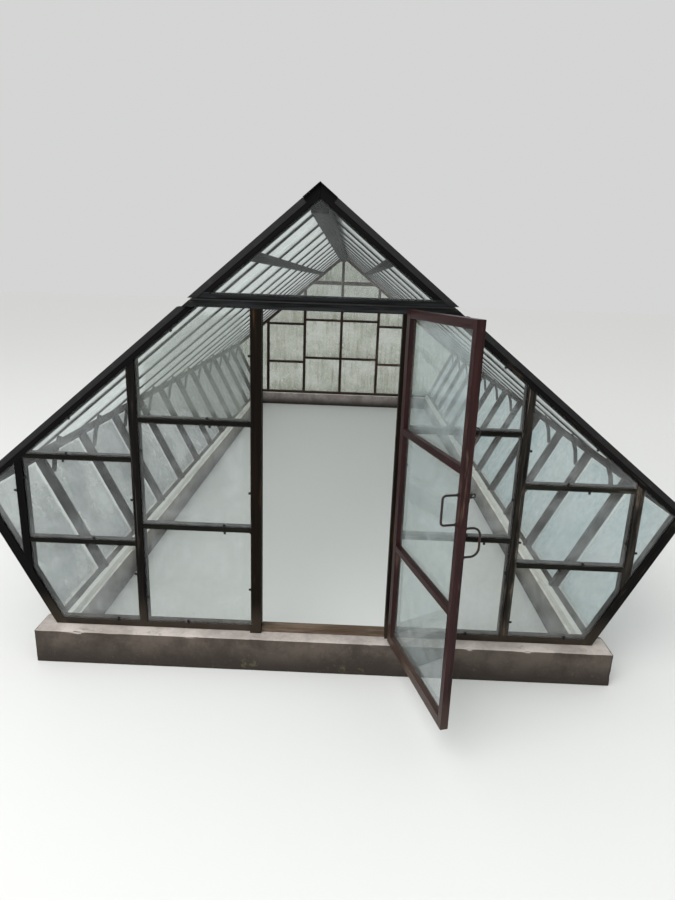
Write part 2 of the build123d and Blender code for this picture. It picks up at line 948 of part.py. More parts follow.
keep("door_handles", swung([
    pull(leaf_back, 1, inner_handle_from_edge, inner_handle_centre, inner_handle_corner),
    pull(leaf_front, -1, outer_handle_from_edge, outer_handle_centre, outer_handle_corner),
]))

# Hinges.
hinge_fixed = []
hinge_moving = []
for joint in (floor_level + lower_hinge_height, door_head_level - upper_hinge_below_head):
    barrel_foot = joint - barrel_height
    barrel = Pos(hinge_x, hinge_y, barrel_foot) * Cylinder(
        barrel_radius, barrel_height, align=(Align.CENTER, Align.CENTER, Align.MIN))
    pin = Pos(hinge_x, hinge_y, joint) * Cylinder(
        pin_radius, barrel_height, align=(Align.CENTER, Align.CENTER, Align.MIN))
    web_right = hinge_x + barrel_radius
    web = block(web_right - web_width, web_right, hinge_y, -door_post_lead, barrel_foot, joint)
    flap = block(
        web_right - web_width,
        web_right - web_width + flap_width,
        -door_post_lead - flap_thickness,
        -door_post_lead,
        joint - flap_height,
        joint,
    )
    hinge_fixed.append(barrel + pin + web + flap)
    sleeve_foot = joint + barrel_gap
    sleeve_top = joint + barrel_gap + barrel_height
    sleeve = Pos(hinge_x, hinge_y, sleeve_foot) * Cylinder(
        barrel_radius, barrel_height, align=(Align.CENTER, Align.CENTER, Align.MIN))
    plate = block(
        leaf_right,
        leaf_right + edge_plate_thickness,
        leaf_front + edge_plate_inset,
        leaf_back - edge_plate_inset,
        sleeve_foot,
        sleeve_top,
    )
    bore = Pos(hinge_x, hinge_y, sleeve_foot) * Cylinder(
        pin_radius + pin_clearance, barrel_height, align=(Align.CENTER, Align.CENTER, Align.MIN))
    hinge_moving.append(sleeve + plate - bore)
keep("hinge_pins", hinge_fixed)
keep("door_hinges", swung(hinge_moving))

# Hasp: a plate on the leaf's outer face, and a tongue that stands out from it and holds a ring.
hasp_x = leaf_left + latch_stile_width / 2
hasp_level = floor_level + hasp_height
plate_front = leaf_front - sheet_thickness
hasp_plate = block(
    hasp_x - hasp_plate_width / 2,
    hasp_x + hasp_plate_width / 2,
    plate_front,
    leaf_front,
    hasp_level - hasp_plate_height / 2,
    hasp_level + hasp_plate_height / 2,
)
hasp_tongue = block(
    hasp_x - sheet_thickness / 2,
    hasp_x + sheet_thickness / 2,
    leaf_front - hasp_tongue_reach,
    plate_front,
    hasp_level - hasp_tongue_height / 2,
    hasp_level + hasp_tongue_height / 2,
)
hasp_eye = Pos(hasp_x, leaf_front - hasp_eye_reach, hasp_level) * Rot(0, 90, 0) * Torus(
    hasp_eye_radius, hasp_eye_rod)
keep("door_hasp", swung([hasp_plate + hasp_tongue + hasp_eye]))

for node, shape in nodes.items():
    export_step(shape, "parts/" + node + ".step")
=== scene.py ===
import json
import math

import bmesh
import bpy
import numpy as np
from mathutils import Matrix, Vector

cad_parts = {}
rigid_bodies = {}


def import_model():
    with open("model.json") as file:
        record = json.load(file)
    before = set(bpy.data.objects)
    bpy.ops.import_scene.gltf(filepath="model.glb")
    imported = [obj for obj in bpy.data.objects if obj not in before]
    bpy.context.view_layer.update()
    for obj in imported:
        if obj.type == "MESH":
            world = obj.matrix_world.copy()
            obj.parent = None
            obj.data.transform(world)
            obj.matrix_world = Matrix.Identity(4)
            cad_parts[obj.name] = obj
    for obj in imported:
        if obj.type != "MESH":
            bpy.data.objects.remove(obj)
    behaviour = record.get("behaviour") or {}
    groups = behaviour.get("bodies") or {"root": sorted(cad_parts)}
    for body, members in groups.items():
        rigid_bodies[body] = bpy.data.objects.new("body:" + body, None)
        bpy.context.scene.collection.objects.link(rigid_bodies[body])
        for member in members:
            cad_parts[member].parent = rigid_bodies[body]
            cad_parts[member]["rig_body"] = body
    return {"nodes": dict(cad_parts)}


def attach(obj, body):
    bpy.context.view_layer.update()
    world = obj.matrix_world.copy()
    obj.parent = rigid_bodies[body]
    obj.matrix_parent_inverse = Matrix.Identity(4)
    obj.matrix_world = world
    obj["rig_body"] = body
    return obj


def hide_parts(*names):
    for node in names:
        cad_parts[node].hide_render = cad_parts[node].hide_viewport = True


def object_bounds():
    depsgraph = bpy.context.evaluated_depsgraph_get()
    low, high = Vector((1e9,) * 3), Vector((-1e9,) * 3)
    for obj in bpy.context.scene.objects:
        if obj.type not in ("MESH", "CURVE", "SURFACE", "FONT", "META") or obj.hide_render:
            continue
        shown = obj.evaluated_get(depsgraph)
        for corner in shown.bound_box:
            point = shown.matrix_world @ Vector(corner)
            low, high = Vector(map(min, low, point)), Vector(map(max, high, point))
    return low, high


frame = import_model()
cadLow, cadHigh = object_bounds()
nodes = frame["nodes"]
mm = 0.001
print("frame loaded,", len(nodes), "nodes")

# In the frame X is across, Y along the ridge and Z up.
shell = {
    "wallRun": (399.0, 809.0),  # how far a side wall goes out and up, in mm
    "rightRoofRun": (2005.0, 1583.0),  # in and up a slope; the ridge is off the middle
    "leftRoofRun": (1855.0, 1583.0),
    "openAngle": 106.0,  # the door's swing from shut, in degrees
    "hingeLine": (381.0, -41.0),  # where the door turns, in mm
}
smooth = {"interpolation_type": "SMOOTHSTEP"}  # for a range that eases in and out
blend = {"data_type": "RGBA"}  # for a mix of two colours
openHeading = math.radians(180 + shell["openAngle"])
# the directions that timbers run in
upright = (0, 0, 1)
across = (1, 0, 0)
lengthwise = (0, 1, 0)
rightWall = (shell["wallRun"][0], 0, shell["wallRun"][1])
leftWall = (-shell["wallRun"][0], 0, shell["wallRun"][1])
rightRoof = (-shell["rightRoofRun"][0], 0, shell["rightRoofRun"][1])
leftRoof = (shell["leftRoofRun"][0], 0, shell["leftRoofRun"][1])
leafWide = (math.cos(openHeading), math.sin(openHeading), 0)


def toLinear(hexColour):
    # an sRGB hex value as linear light: c / 12.92 where a channel is dark,
    # ((c + 0.055) / 1.055) to the power 2.4 elsewhere
    channels = [int(hexColour[place:place + 2], 16) / 255 for place in (1, 3, 5)]
    linear = [c / 12.92 if c <= 0.04045 else ((c + 0.055) / 1.055) ** 2.4 for c in channels]
    return (*linear, 1.0)


def addNode(tree, kind, inputs=None, **settings):
    # one shader node with its settings; an input takes a value, a hex colour, a socket, or another
    # node, which stands for the first of its outputs that is in use
    node = tree.nodes.new(kind)
    for name, value in settings.items():
        setattr(node, name, value)
    for key, value in (inputs or {}).items():
        if isinstance(value, bpy.types.Node):
            value = next(socket for socket in value.outputs if socket.enabled)
        if isinstance(value, bpy.types.NodeSocket):
            tree.links.new(value, node.inputs[key])
        else:
            node.inputs[key].default_value = toLinear(value) if isinstance(value, str) else value
    return node


def newMaterial(name):
    material = bpy.data.materials.new(name)
    material.use_nodes = True
    material.node_tree.nodes.clear()
    return material, material.node_tree


def lumpScale(size):
    # the scale of a noise whose lumps are about as wide as size, in metres
    return 0.5 / size


def bodyOf(node):
    return nodes[node]["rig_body"]


def addPiece(name, mesh, body, material, stands=()):
    # links a finished mesh and hangs it on its body
    mesh.materials.clear()
    mesh.materials.append(material)
    piece = bpy.data.objects.new(name, mesh)
    bpy.context.scene.collection.objects.link(piece)
    if stands:
        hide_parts(*stands)
    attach(piece, body)
    return piece


def meshFrom(name, points, faces):
    mesh = bpy.data.meshes.new(name)
    mesh.from_pydata(points.tolist(), [], faces)
    mesh.update()
    return mesh


def mendFaces(mesh, weld=0.0):
    # joins points nearer than weld, and turns every face outwards
    built = bmesh.new()
    built.from_mesh(mesh)
    if weld:
        bmesh.ops.remove_doubles(built, verts=built.verts, dist=weld)
    bmesh.ops.recalc_face_normals(built, faces=built.faces)
    built.to_mesh(mesh)
    built.free()


def smoothFaces(mesh):
    mesh.polygons.foreach_set("use_smooth", np.ones(len(mesh.polygons), bool))


def tubeFaces(rings, count):
    # the quads between rings of count points each, where the rings follow one another
    rows = np.arange(rings - 1)[:, None] * count
    here = np.arange(count)
    after = (here + 1) % count
    quads = np.stack([rows + here, rows + after, rows + count + after, rows + count + here], axis=-1)
    return quads.reshape(-1, 4).tolist()


def joined(parts):
    # the points and faces of several parts as those of one
    points, faces, start = [], [], 0
    for somePoints, someFaces in parts:
        points.append(somePoints)
        faces += [[corner + start for corner in face] for face in someFaces]
        start += len(somePoints)
    return np.vstack(points), faces


def writeAttribute(mesh, name, values):
    # one number a point, which a material reads by this name
    attribute = mesh.attributes.new(name, "FLOAT", "POINT")
    attribute.data.foreach_set("value", np.asarray(values, np.float32))


def islandLabels(count, ties):
    # one label for each island of points: the points in a row of ties take the lowest label among
    # them, over and over, until nothing changes
    labels = np.arange(count)
    settled = False
    while not settled:
        lowered = labels.copy()
        np.minimum.at(lowered, ties, labels[ties].min(axis=1)[:, None])
        lowered = lowered[lowered]
        settled = bool((lowered == labels).all())
        labels = lowered
    return labels


lattice = {"seed": 11, "values": 8192, "primes": (7919, 104729, 1299709), "seedPrime": 15485863}
chance = np.random.default_rng(lattice["seed"])
latticeValues = chance.uniform(0, 1, lattice["values"])


def lumps(points, size, seed):
    # smooth heights from 0 to 1, about size apart: each corner of a cubic lattice has a fixed random
    # value, and a point takes those of its cell's eight corners, weighted by t * t * (3 - 2 * t)
    scaled = points / size
    cell = np.floor(scaled).astype(int)
    near = scaled - cell
    near = near * near * (3 - 2 * near)
    total = np.zeros(len(points))
    for corner in np.ndindex(2, 2, 2):
        key = ((cell + corner) * lattice["primes"]).sum(axis=1) + seed * lattice["seedPrime"]
        weight = np.where(np.array(corner) == 1, near, 1 - near).prod(axis=1)
        total += weight * latticeValues[key % len(latticeValues)]
    return total


# Timber: sawn softwood under old brown-black oil paint. The paint is dull, split along the grain
# and gone in places, where grey-brown wood shows; soil has splashed up the foot of the frame.

timberLooks = {  # split: what shows in the paint's cracks; grain: its width in mm; rough: of sound
    # paint; limed: how far from the middle of the house the limewash of the strip beside it reaches
    # shade: near-black, partly old paint and partly painted shade, for the sills, rafters and corner
    # posts
    "shade": {"paint": "#070606", "faded": "#131110", "bare": "#3a3129", "split": "#060505",
              "wear": 0.18, "grain": 9.0, "sheen": 0.06, "rough": 0.55},
    "stud": {"paint": "#070606", "faded": "#38342f", "bare": "#6b6155", "split": "#7a7268",
             "wear": 0.42, "grain": 7.0, "sheen": 0.05, "rough": 0.6},
    "rail": {"paint": "#0a0907", "faded": "#2b2a24", "bare": "#574f43", "split": "#080706",
             "wear": 0.33, "grain": 8.0, "sheen": 0.05, "rough": 0.6},
    "post": {"paint": "#0c0805", "faded": "#1c140d", "bare": "#49361f", "split": "#060504",
             "wear": 0.32, "grain": 7.0, "sheen": 0.05, "rough": 0.6},
    # tie: its blue-grey faded patches are partly weathered paint and partly a painted reflection of
    # the sky
    "tie": {"paint": "#080808", "faded": "#35383a", "bare": "#57534c", "split": "#060505",
            "wear": 0.32, "grain": 9.0, "sheen": 0.06, "rough": 0.5},
    "far": {"paint": "#2c221c", "faded": "#5b4a40", "bare": "#8c7a68", "split": "#120d0b",
            "wear": 0.42, "grain": 10.0, "sheen": 0.05, "rough": 0.6},
    "inside": {"paint": "#0f0e0e", "faded": "#262321", "bare": "#5a5045", "split": "#070606",
               "wear": 0.38, "grain": 10.0, "sheen": 0.05, "rough": 0.6},
    "roof": {"paint": "#0b0c0c", "faded": "#1e1f20", "bare": "#3f3c38", "split": "#070707",
             "wear": 0.28, "grain": 10.0, "sheen": 0.05, "rough": 0.6},
    "door": {"paint": "#1d090a", "faded": "#361b1a", "bare": "#58453b", "split": "#0c0607",
             "wear": 0.22, "grain": 8.0, "sheen": 0.16, "rough": 0.36},
    "sill": {"paint": "#453629", "faded": "#66574c", "bare": "#8d7e6e", "split": "#1a1410",
             "wear": 0.75, "grain": 9.0, "sheen": 0.05, "rough": 0.6},
    "sideSill": {"paint": "#131211", "faded": "#2b2825", "bare": "#665b4f", "split": "#0b0a0a",
                 "wear": 0.42, "grain": 10.0, "sheen": 0.05, "rough": 0.6, "limed": 1491 * mm},
}
timberMarks = {  # width in mm, scale along the grain, detail and roughness of the noise
    "grain": (9.0, 0.05, 4.0, 0.6),  # each look has a width of its own
    "blotch": (150.0, 1, 3.0, 0.6),
    "flake": (14.0, 0.10, 5.0, 0.65),
    "crack": (4.0, 0.012, 2.0, 0.5),  # drawn wider than the real hairline cracks
}
timberRanges = {  # a range's inputs: as what it reads goes from 1 to 2, its share goes from 3 to 4
    "split": {1: 0.62, 2: 0.70},
    "fade": {1: 0.3, 2: 0.75},
    "splash": {1: 0.22, 2: 0.42, 3: 0.55, 4: 0.0},  # by the height in metres
}
timberWear = {  # worn = blotch * its weight + flake + wear and painted side light * its weight
    "blotch": 0.5,
    "wearAndSideLight": 0.14,
    "start": 0.3,  # how far a look's wear lowers the value at which paint begins to go
    "gone": 1.12,
    "baring": 1.25,  # how soon a timber with more wear and painted side light shows its worn places
    "cracking": 1.1,
}
timberRelief = {"worn": -0.4, "split": -0.9}
splashedSoil = "#5c5146"
limewash = {  # brushed on the side strips, and over the inner part of their sills
    "dark": "#d6d2ca",
    "pale": "#faf8f3",
    "cover": 0.9,
    "uneven": 14 * mm,
    "fades": (5 * mm, 10 * mm),  # beyond the look's own line
}


def paintedTimber(name, look, along, mirrored=False):
    # the grain runs along the timber's local Z; a mirrored node is folded on the middle plane first
    material, tree = newMaterial(name)
    place = addNode(tree, "ShaderNodeTexCoord").outputs["Object"]
    parts = addNode(tree, "ShaderNodeSeparateXYZ", {0: place}).outputs
    if mirrored:
        folded = addNode(tree, "ShaderNodeMath", {0: parts["X"]}, operation="ABSOLUTE")
        place = addNode(tree, "ShaderNodeCombineXYZ", {0: folded, 1: parts["Y"], 2: parts["Z"]})
    turn = Vector(along).normalized().rotation_difference(Vector(upright)).to_euler()
    place = addNode(tree, "ShaderNodeMapping", {"Vector": place, "Rotation": turn})
    marks = {}
    for mark, (width, squeeze, detail, roughness) in timberMarks.items():
        drawn = addNode(tree, "ShaderNodeMapping", {"Vector": place, "Scale": (1, 1, squeeze)})
        marks[mark] = addNode(tree, "ShaderNodeTexNoise", {
            "Vector": drawn, "Scale": lumpScale(look.get(mark, width) * mm), "Detail": detail,
            "Roughness": roughness})
    grain, blotch, flake, crack = marks.values()
    # wear and painted side light: where it is high the paint fades and bares more; its low values on
    # the house's left paint those timbers darker as shade
    wornAndLit = addNode(tree, "ShaderNodeAttribute", attribute_name="wearAndSideLight").outputs["Fac"]
    worn = addNode(tree, "ShaderNodeMath", {0: blotch, 1: timberWear["blotch"], 2: flake},
                   operation="MULTIPLY_ADD")
    worn = addNode(tree, "ShaderNodeMath", {0: wornAndLit, 1: timberWear["wearAndSideLight"], 2: worn},
                   operation="MULTIPLY_ADD")
    worn = addNode(tree, "ShaderNodeMapRange", {
        0: worn, 1: 1.0 - timberWear["start"] * look["wear"], 2: timberWear["gone"]}, **smooth)
    split = addNode(tree, "ShaderNodeMapRange", {0: crack, **timberRanges["split"]}, **smooth)
    fade = addNode(tree, "ShaderNodeMapRange", {0: grain, **timberRanges["fade"]}, **smooth)
    fade = addNode(tree, "ShaderNodeMath", {0: fade, 1: wornAndLit}, operation="MULTIPLY")
    bared = addNode(tree, "ShaderNodeMath", {0: wornAndLit, 1: timberWear["baring"]},
                    operation="MULTIPLY", use_clamp=True)
    bared = addNode(tree, "ShaderNodeMath", {0: worn, 1: bared}, operation="MULTIPLY")
    dark = addNode(tree, "ShaderNodeMath", {0: wornAndLit, 1: timberWear["cracking"]},
                   operation="MULTIPLY", use_clamp=True)
    dark = addNode(tree, "ShaderNodeMath", {0: split, 1: dark}, operation="MULTIPLY")
    splash = addNode(tree, "ShaderNodeMapRange", {0: parts["Z"], **timberRanges["splash"]}, **smooth)
    splash = addNode(tree, "ShaderNodeMath", {0: splash, 1: blotch}, operation="MULTIPLY")
    colour = look["paint"]
    for share, tone in ((fade, look["faded"]), (bared, look["bare"]), (dark, look["split"]),
                        (splash, splashedSoil)):
        colour = addNode(tree, "ShaderNodeMix", {0: share, 6: colour, 7: tone}, **blend)
    if "limed" in look:
        reach = addNode(tree, "ShaderNodeMath", {0: parts["X"]}, operation="ABSOLUTE")
        reach = addNode(tree, "ShaderNodeMath", {0: blotch, 1: limewash["uneven"], 2: reach},
                        operation="MULTIPLY_ADD")
        start, end = limewash["fades"]
        limed = addNode(tree, "ShaderNodeMapRange", {
            0: reach, 1: look["limed"] + start, 2: look["limed"] + end, 3: limewash["cover"], 4: 0.0})
        washed = addNode(tree, "ShaderNodeMix", {
            0: blotch, 6: limewash["dark"], 7: limewash["pale"]}, **blend)
        colour = addNode(tree, "ShaderNodeMix", {0: limed, 6: colour, 7: washed}, **blend)
    relief = addNode(tree, "ShaderNodeMath", {0: worn, 1: timberRelief["worn"], 2: grain},
                     operation="MULTIPLY_ADD")
    relief = addNode(tree, "ShaderNodeMath", {0: split, 1: timberRelief["split"], 2: relief},
                     operation="MULTIPLY_ADD")
    bump = addNode(tree, "ShaderNodeBump", {"Height": relief, "Strength": 0.6, "Distance": 1.2 * mm})
    rough = addNode(tree, "ShaderNodeMapRange", {0: worn, 3: look["rough"], 4: 0.85})
    shader = addNode(tree, "ShaderNodeBsdfPrincipled", {
        "Base Color": colour, "Roughness": rough, "Normal": bump, "IOR": 1.5,
        "Specular IOR Level": look["sheen"]})
    addNode(tree, "ShaderNodeOutputMaterial", {"Surface": shader})
    return material


timbers = {  # node: (look, direction of its grain, folded on the middle plane)
    "front_sills": ("shade", across, False),
    "front_studs": ("stud", upright, False),
    "front_rails": ("rail", across, False),
    "front_tie_beam": ("tie", across, False),
    "front_left_rafter": ("shade", leftRoof, False),
    "front_right_rafter": ("shade", rightRoof, False),
    "front_corner_posts": ("shade", rightWall, True),
    "door_posts": ("post", upright, False),
    "threshold": ("sill", across, False),
    "back_sill": ("far", across, False),
    "back_studs": ("far", upright, False),
    "back_rails": ("far", across, False),
    "back_tie_beam": ("far", across, False),
    "back_rafters": ("far", rightRoof, True),
    "back_corner_posts": ("far", rightWall, True),
    "side_sills": ("sideSill", lengthwise, False),
    "eave_plates": ("inside", lengthwise, False),
    "left_wall_bars": ("inside", leftWall, False),
    "right_wall_bars": ("inside", rightWall, False),
    "left_roof_bars": ("roof", leftRoof, False),
    "right_roof_bars": ("roof", rightRoof, False),
    "ridge_beam": ("roof", lengthwise, False),
    "purlins": ("roof", lengthwise, False),
    "knee_struts": ("inside", upright, False),
    "door_stiles": ("door", upright, False),
    "door_rails": ("door", leafWide, False),
}
easing = {  # hand-planed edges; weld and flat join the solids' triangles
    "width": 1.6 * mm,
    "segments": 2,
    "angle": 25.0,
    "weld": 0.01 * mm,
    "flat": 0.5,
}
wearAndSideLight = {"middle": 0.48, "across": 0.48, "spread": 0.15}  # the house's right is lighter, partly more worn and partly painted light; the left is painted darker as shade
slimRoof = {  # drawn slimmer than the solids, so that the panes show between the bars from inside
    "deepest": 27 * mm,  # how far below a bar's top its underside begins
    "rise": 8 * mm,
    "wayUp": {"left": (-leftRoof[2], 0, leftRoof[0]), "right": (rightRoof[2], 0, -rightRoof[0])},
    "ridgeX": -75 * mm,
}


def slimmed(node, points):
    # a roof bar's underside and a whole purlin rise square to their slope: point + rise * way up
    for side, way in slimRoof["wayUp"].items():
        way = np.array(way) / np.linalg.norm(way)
        onSide = (points[:, 0] < slimRoof["ridgeX"]) == (side == "left")
        if node == side + "_roof_bars":
            height = points @ way
            onSide = onSide & (height < height.max() - slimRoof["deepest"])
        elif node != "purlins":
            continue
        points = points + onSide[:, None] * way * slimRoof["rise"]
    return points


def easedCopy(node, material):
    # a merged copy of the solids, their triangles joined into flat faces and their edges rounded;
    # each timber's wear and painted side light = middle + across * (its place across / half the width)
    # + chance
    built = bmesh.new()
    built.from_mesh(nodes[node].data)
    bmesh.ops.remove_doubles(built, verts=built.verts, dist=easing["weld"])
    bmesh.ops.dissolve_limit(built, angle_limit=math.radians(easing["flat"]), verts=built.verts,
                             edges=built.edges)
    mesh = bpy.data.meshes.new(node + "_eased")
    built.to_mesh(mesh)
    built.free()
    points = np.empty(len(mesh.vertices) * 3)
    mesh.vertices.foreach_get("co", points)
    points = slimmed(node, points.reshape(-1, 3)).ravel()
    mesh.vertices.foreach_set("co", points)
    mesh.update()
    ends = np.empty(len(mesh.edges) * 2, int)
    mesh.edges.foreach_get("vertices", ends)
    labels = islandLabels(len(mesh.vertices), ends.reshape(-1, 2))
    _, members = np.unique(labels, return_inverse=True)
    centres = np.bincount(members, points[0::3]) / np.bincount(members)
    worn = wearAndSideLight["middle"] + wearAndSideLight["across"] * centres / cadHigh.x
    worn = worn + chance.uniform(-1, 1, len(centres)) * wearAndSideLight["spread"]
    writeAttribute(mesh, "wearAndSideLight", worn.clip(0, 1)[members])
    piece = addPiece(node + "_eased", mesh, bodyOf(node), material, (node,))
    bevel = piece.modifiers.new("easedEdges", "BEVEL")
    bevel.width = easing["width"]
    bevel.segments = easing["segments"]
    bevel.limit_method = "ANGLE"
    bevel.angle_limit = math.radians(easing["angle"])


for node, (lookName, along, mirrored) in timbers.items():
    easedCopy(node, paintedTimber("oldOilPaint_" + node, timberLooks[lookName], along, mirrored))
print("timbers eased and painted")


# Glass: drawn sheet glass under a film of lime and dust, thin on the front and thick on the sides
# and roof. The film scatters light both ways, so a pane is milky against light and dull in shade.

paneGrid = {"rings": (0.5, 0.8, 0.92, 0.975, 1.0), "perEdge": 8, "patternShift": 40}
milkyPane = {  # one gable pane is far duller than the others: a heavy film, whose green-grey is partly a painted reflection of leaves; place and reach in mm
    "place": (-695, 0, 1680),
    "reach": 200,
    "extra": 8.0,
    "dull": "#6f776c",
    "dulled": 0.8,
}


def solidsOf(node):
    # the corner points of each solid of a node, whose mesh is loose triangles
    mesh = nodes[node].data
    points = np.empty(len(mesh.vertices) * 3)
    mesh.vertices.foreach_get("co", points)
    corners = np.empty(len(mesh.loops), int)
    mesh.loops.foreach_get("vertex_index", corners)
    points, merged = np.unique(points.reshape(-1, 3).round(6) + 0.0, axis=0, return_inverse=True)
    labels = islandLabels(len(points), merged.reshape(-1)[corners].reshape(-1, 3))
    return [points[labels == label] for label in np.unique(labels)]


def paneFrame(corners, wayOut):
    # a pane's outline on its outer face, its centre, three axes and half its thickness: the thin
    # direction is the last axis of its spread, and its corners are sorted by angle round the centre
    centre = corners.mean(axis=0)
    normal = np.linalg.svd(corners - centre)[2][2]
    normal = normal * np.sign(normal @ np.array(wayOut))
    side = np.cross((0.0, 0.0, 1.0), normal)
    side = side / np.linalg.norm(side)
    rise = np.cross(normal, side)
    depth = (corners - centre) @ normal
    face = corners[depth > 0] - normal * depth.max()
    angle = np.arctan2((face - centre) @ rise, (face - centre) @ side)
    return face[np.argsort(angle)], centre, normal, side, rise, depth.max()


def paneSheet(corners, wayOut):
    # point(ring, step) = centre + ring * (edge(step) - centre) on both faces, where edge(step)
    # walks once round the outline; the band between the faces joins their last rings
    outline, centre, normal, side, rise, half = paneFrame(corners, wayOut)
    steps = np.arange(paneGrid["perEdge"]) / paneGrid["perEdge"]
    ends = np.roll(outline, -1, axis=0)
    edge = (outline[:, None] + steps[None, :, None] * (ends - outline)[:, None]).reshape(-1, 3)
    middle = outline.mean(axis=0)
    rings = np.array(paneGrid["rings"])
    flat = np.vstack([middle[None], (middle + rings[:, None, None] * (edge - middle)).reshape(-1, 3)])
    count = len(edge)
    here = np.arange(count)
    after = (here + 1) % count
    fan = np.stack([np.zeros(count, int), 1 + here, 1 + after], axis=1)
    inner = 1 + np.arange(len(rings) - 1)[:, None] * count
    quads = np.stack([
        inner + here, inner + count + here, inner + count + after, inner + after], axis=-1)
    quads = quads.reshape(-1, 4)
    last = 1 + (len(rings) - 1) * count
    size = len(flat)
    band = np.stack([last + here, last + size + here, last + size + after, last + after], axis=1)
    points = np.vstack([flat + normal * half, flat - normal * half])
    faces = fan.tolist() + quads.tolist()
    faces += (fan[:, ::-1] + size).tolist() + (quads[:, ::-1] + size).tolist()
    faces += band.tolist()
    along = (ends - outline) / np.linalg.norm(ends - outline, axis=1)[:, None]
    inward = np.cross(normal, along)
    toEdges = ((flat[:, None] - outline[None]) * inward[None]).sum(axis=2)
    lowest = np.argmax(inward @ rise)
    shift = chance.uniform(0, paneGrid["patternShift"], 2)
    milky = np.linalg.norm(centre - np.array(milkyPane["place"]) * mm) < milkyPane["reach"] * mm
    data = {
        "edgeDistance": np.tile(toEdges.min(axis=1), 2),
        "footDistance": np.tile(toEdges[:, lowest], 2),
        "paneTone": np.full(2 * size, chance.uniform(0, 1) + milkyPane["extra"] * milky),
        "mapAcross": np.tile((flat - centre) @ side + shift[0], 2),
        "mapRise": np.tile((flat - centre) @ rise + shift[1], 2),
    }
    return points, faces, data


glassLooks = {  # film: its share of each face; cloud: how much that varies; rim: grime along the
    # edges; through: light it lets past; gloss: how far the mirror grows, small where dust lies
    # thick; washed: the share of the film that rain leaves along the edges
    "front": {"haze": "#b3b9bc", "pale": "#e0e4e6", "grime": "#77725f", "film": 0.01, "cloud": 0.10,
              "streak": 0.07, "dirt": 0.45, "rim": 0.1, "through": 0.45, "gloss": 0.9, "washed": 0.15},
    "gable": {"haze": "#bcbfc1", "pale": "#dadcdd", "grime": "#6f6b60", "film": 0.01, "cloud": 0.03,
              "streak": 0.03, "dirt": 0.25, "rim": 0.2, "through": 0.5, "gloss": 0.9, "washed": 0.15},
    # left and right: the left film's darker haze is partly painted shade, and the right film's pale
    # blue haze is partly painted sky light
    "left": {"haze": "#8a9093", "pale": "#b2b7ba", "grime": "#62615a", "film": 0.32, "cloud": 0.32,
             "streak": 0.09, "dirt": 0.5, "rim": 0.6, "through": 0.5, "gloss": 0.3, "washed": 0.15},
    "right": {"haze": "#c0d2d8", "pale": "#e4eff2", "grime": "#727a74", "film": 0.36, "cloud": 0.30,
              "streak": 0.09, "dirt": 0.4, "rim": 0.6, "through": 0.7, "gloss": 0.3, "washed": 0.15},
    "roof": {"haze": "#cfd4d5", "pale": "#eff1f1", "grime": "#8b8a81", "film": 0.26, "cloud": 0.22,
             "streak": 0.12, "dirt": 0.4, "rim": 0.5, "through": 0.8, "gloss": 0.08, "washed": 0.15},
    "back": {"haze": "#8d917a", "pale": "#c6c9b5", "grime": "#6d6b55", "film": 0.26, "cloud": 0.14,
             "streak": 0.50, "dirt": 0.5, "rim": 0.15, "through": 0.5, "gloss": 0.5, "washed": 0.9},
    "door": {"haze": "#8e9998", "pale": "#c3cfd1", "grime": "#575a50", "film": 0.17, "cloud": 0.17,
             "streak": 0.07, "dirt": 0.55, "rim": 0.3, "through": 0.4, "gloss": 0.9, "washed": 0.15},
}
glassMarks = {  # width in mm, scale up the pane, detail and roughness of the noise
    "cloud": (230, 1, 5.0, 0.62),
    "streak": (22, 0.06, 4.0, 0.65),
    "smear": (45, 1, 5.0, 0.7),
    "speck": (5, 1, 3.0, 0.6),
    "ripple": (90, 1, 2.0, 0.5),  # of the drawn sheet itself
}
glassRanges = {  # as those of the timber; the last three read how far the pane's edge or foot is
    "clouded": {1: 0.50, 2: 0.86},
    "streaked": {1: 0.42, 2: 0.80},
    "speckled": {1: 0.60, 2: 0.72},
    "smeared": {1: 0.30, 2: 0.70, 3: 0.3, 4: 1.0},
    "rim": {1: 0.40, 2: 0.60},
    "edge": {1: 5 * mm, 2: 48 * mm, 4: 0.0},
    "foot": {1: 0.0, 2: 170 * mm, 3: 1.0, 4: 0.0},
    "washed": {1: 20 * mm, 2: 65 * mm, 4: 1.0},
}
glassWeights = {
    "smear": 0.35,  # added to the clouds
    "foot": 0.6,  # added to the grime along the edges
    "grime": 0.5,  # added to the cover
    "speck": 0.25,  # this one and the next as shares of the look's cloud
    "tone": 0.3,
    "leastRim": 0.1,  # as a share of the look's rim
}
glassMirror = {"power": 5.0, "straight": 0.03}


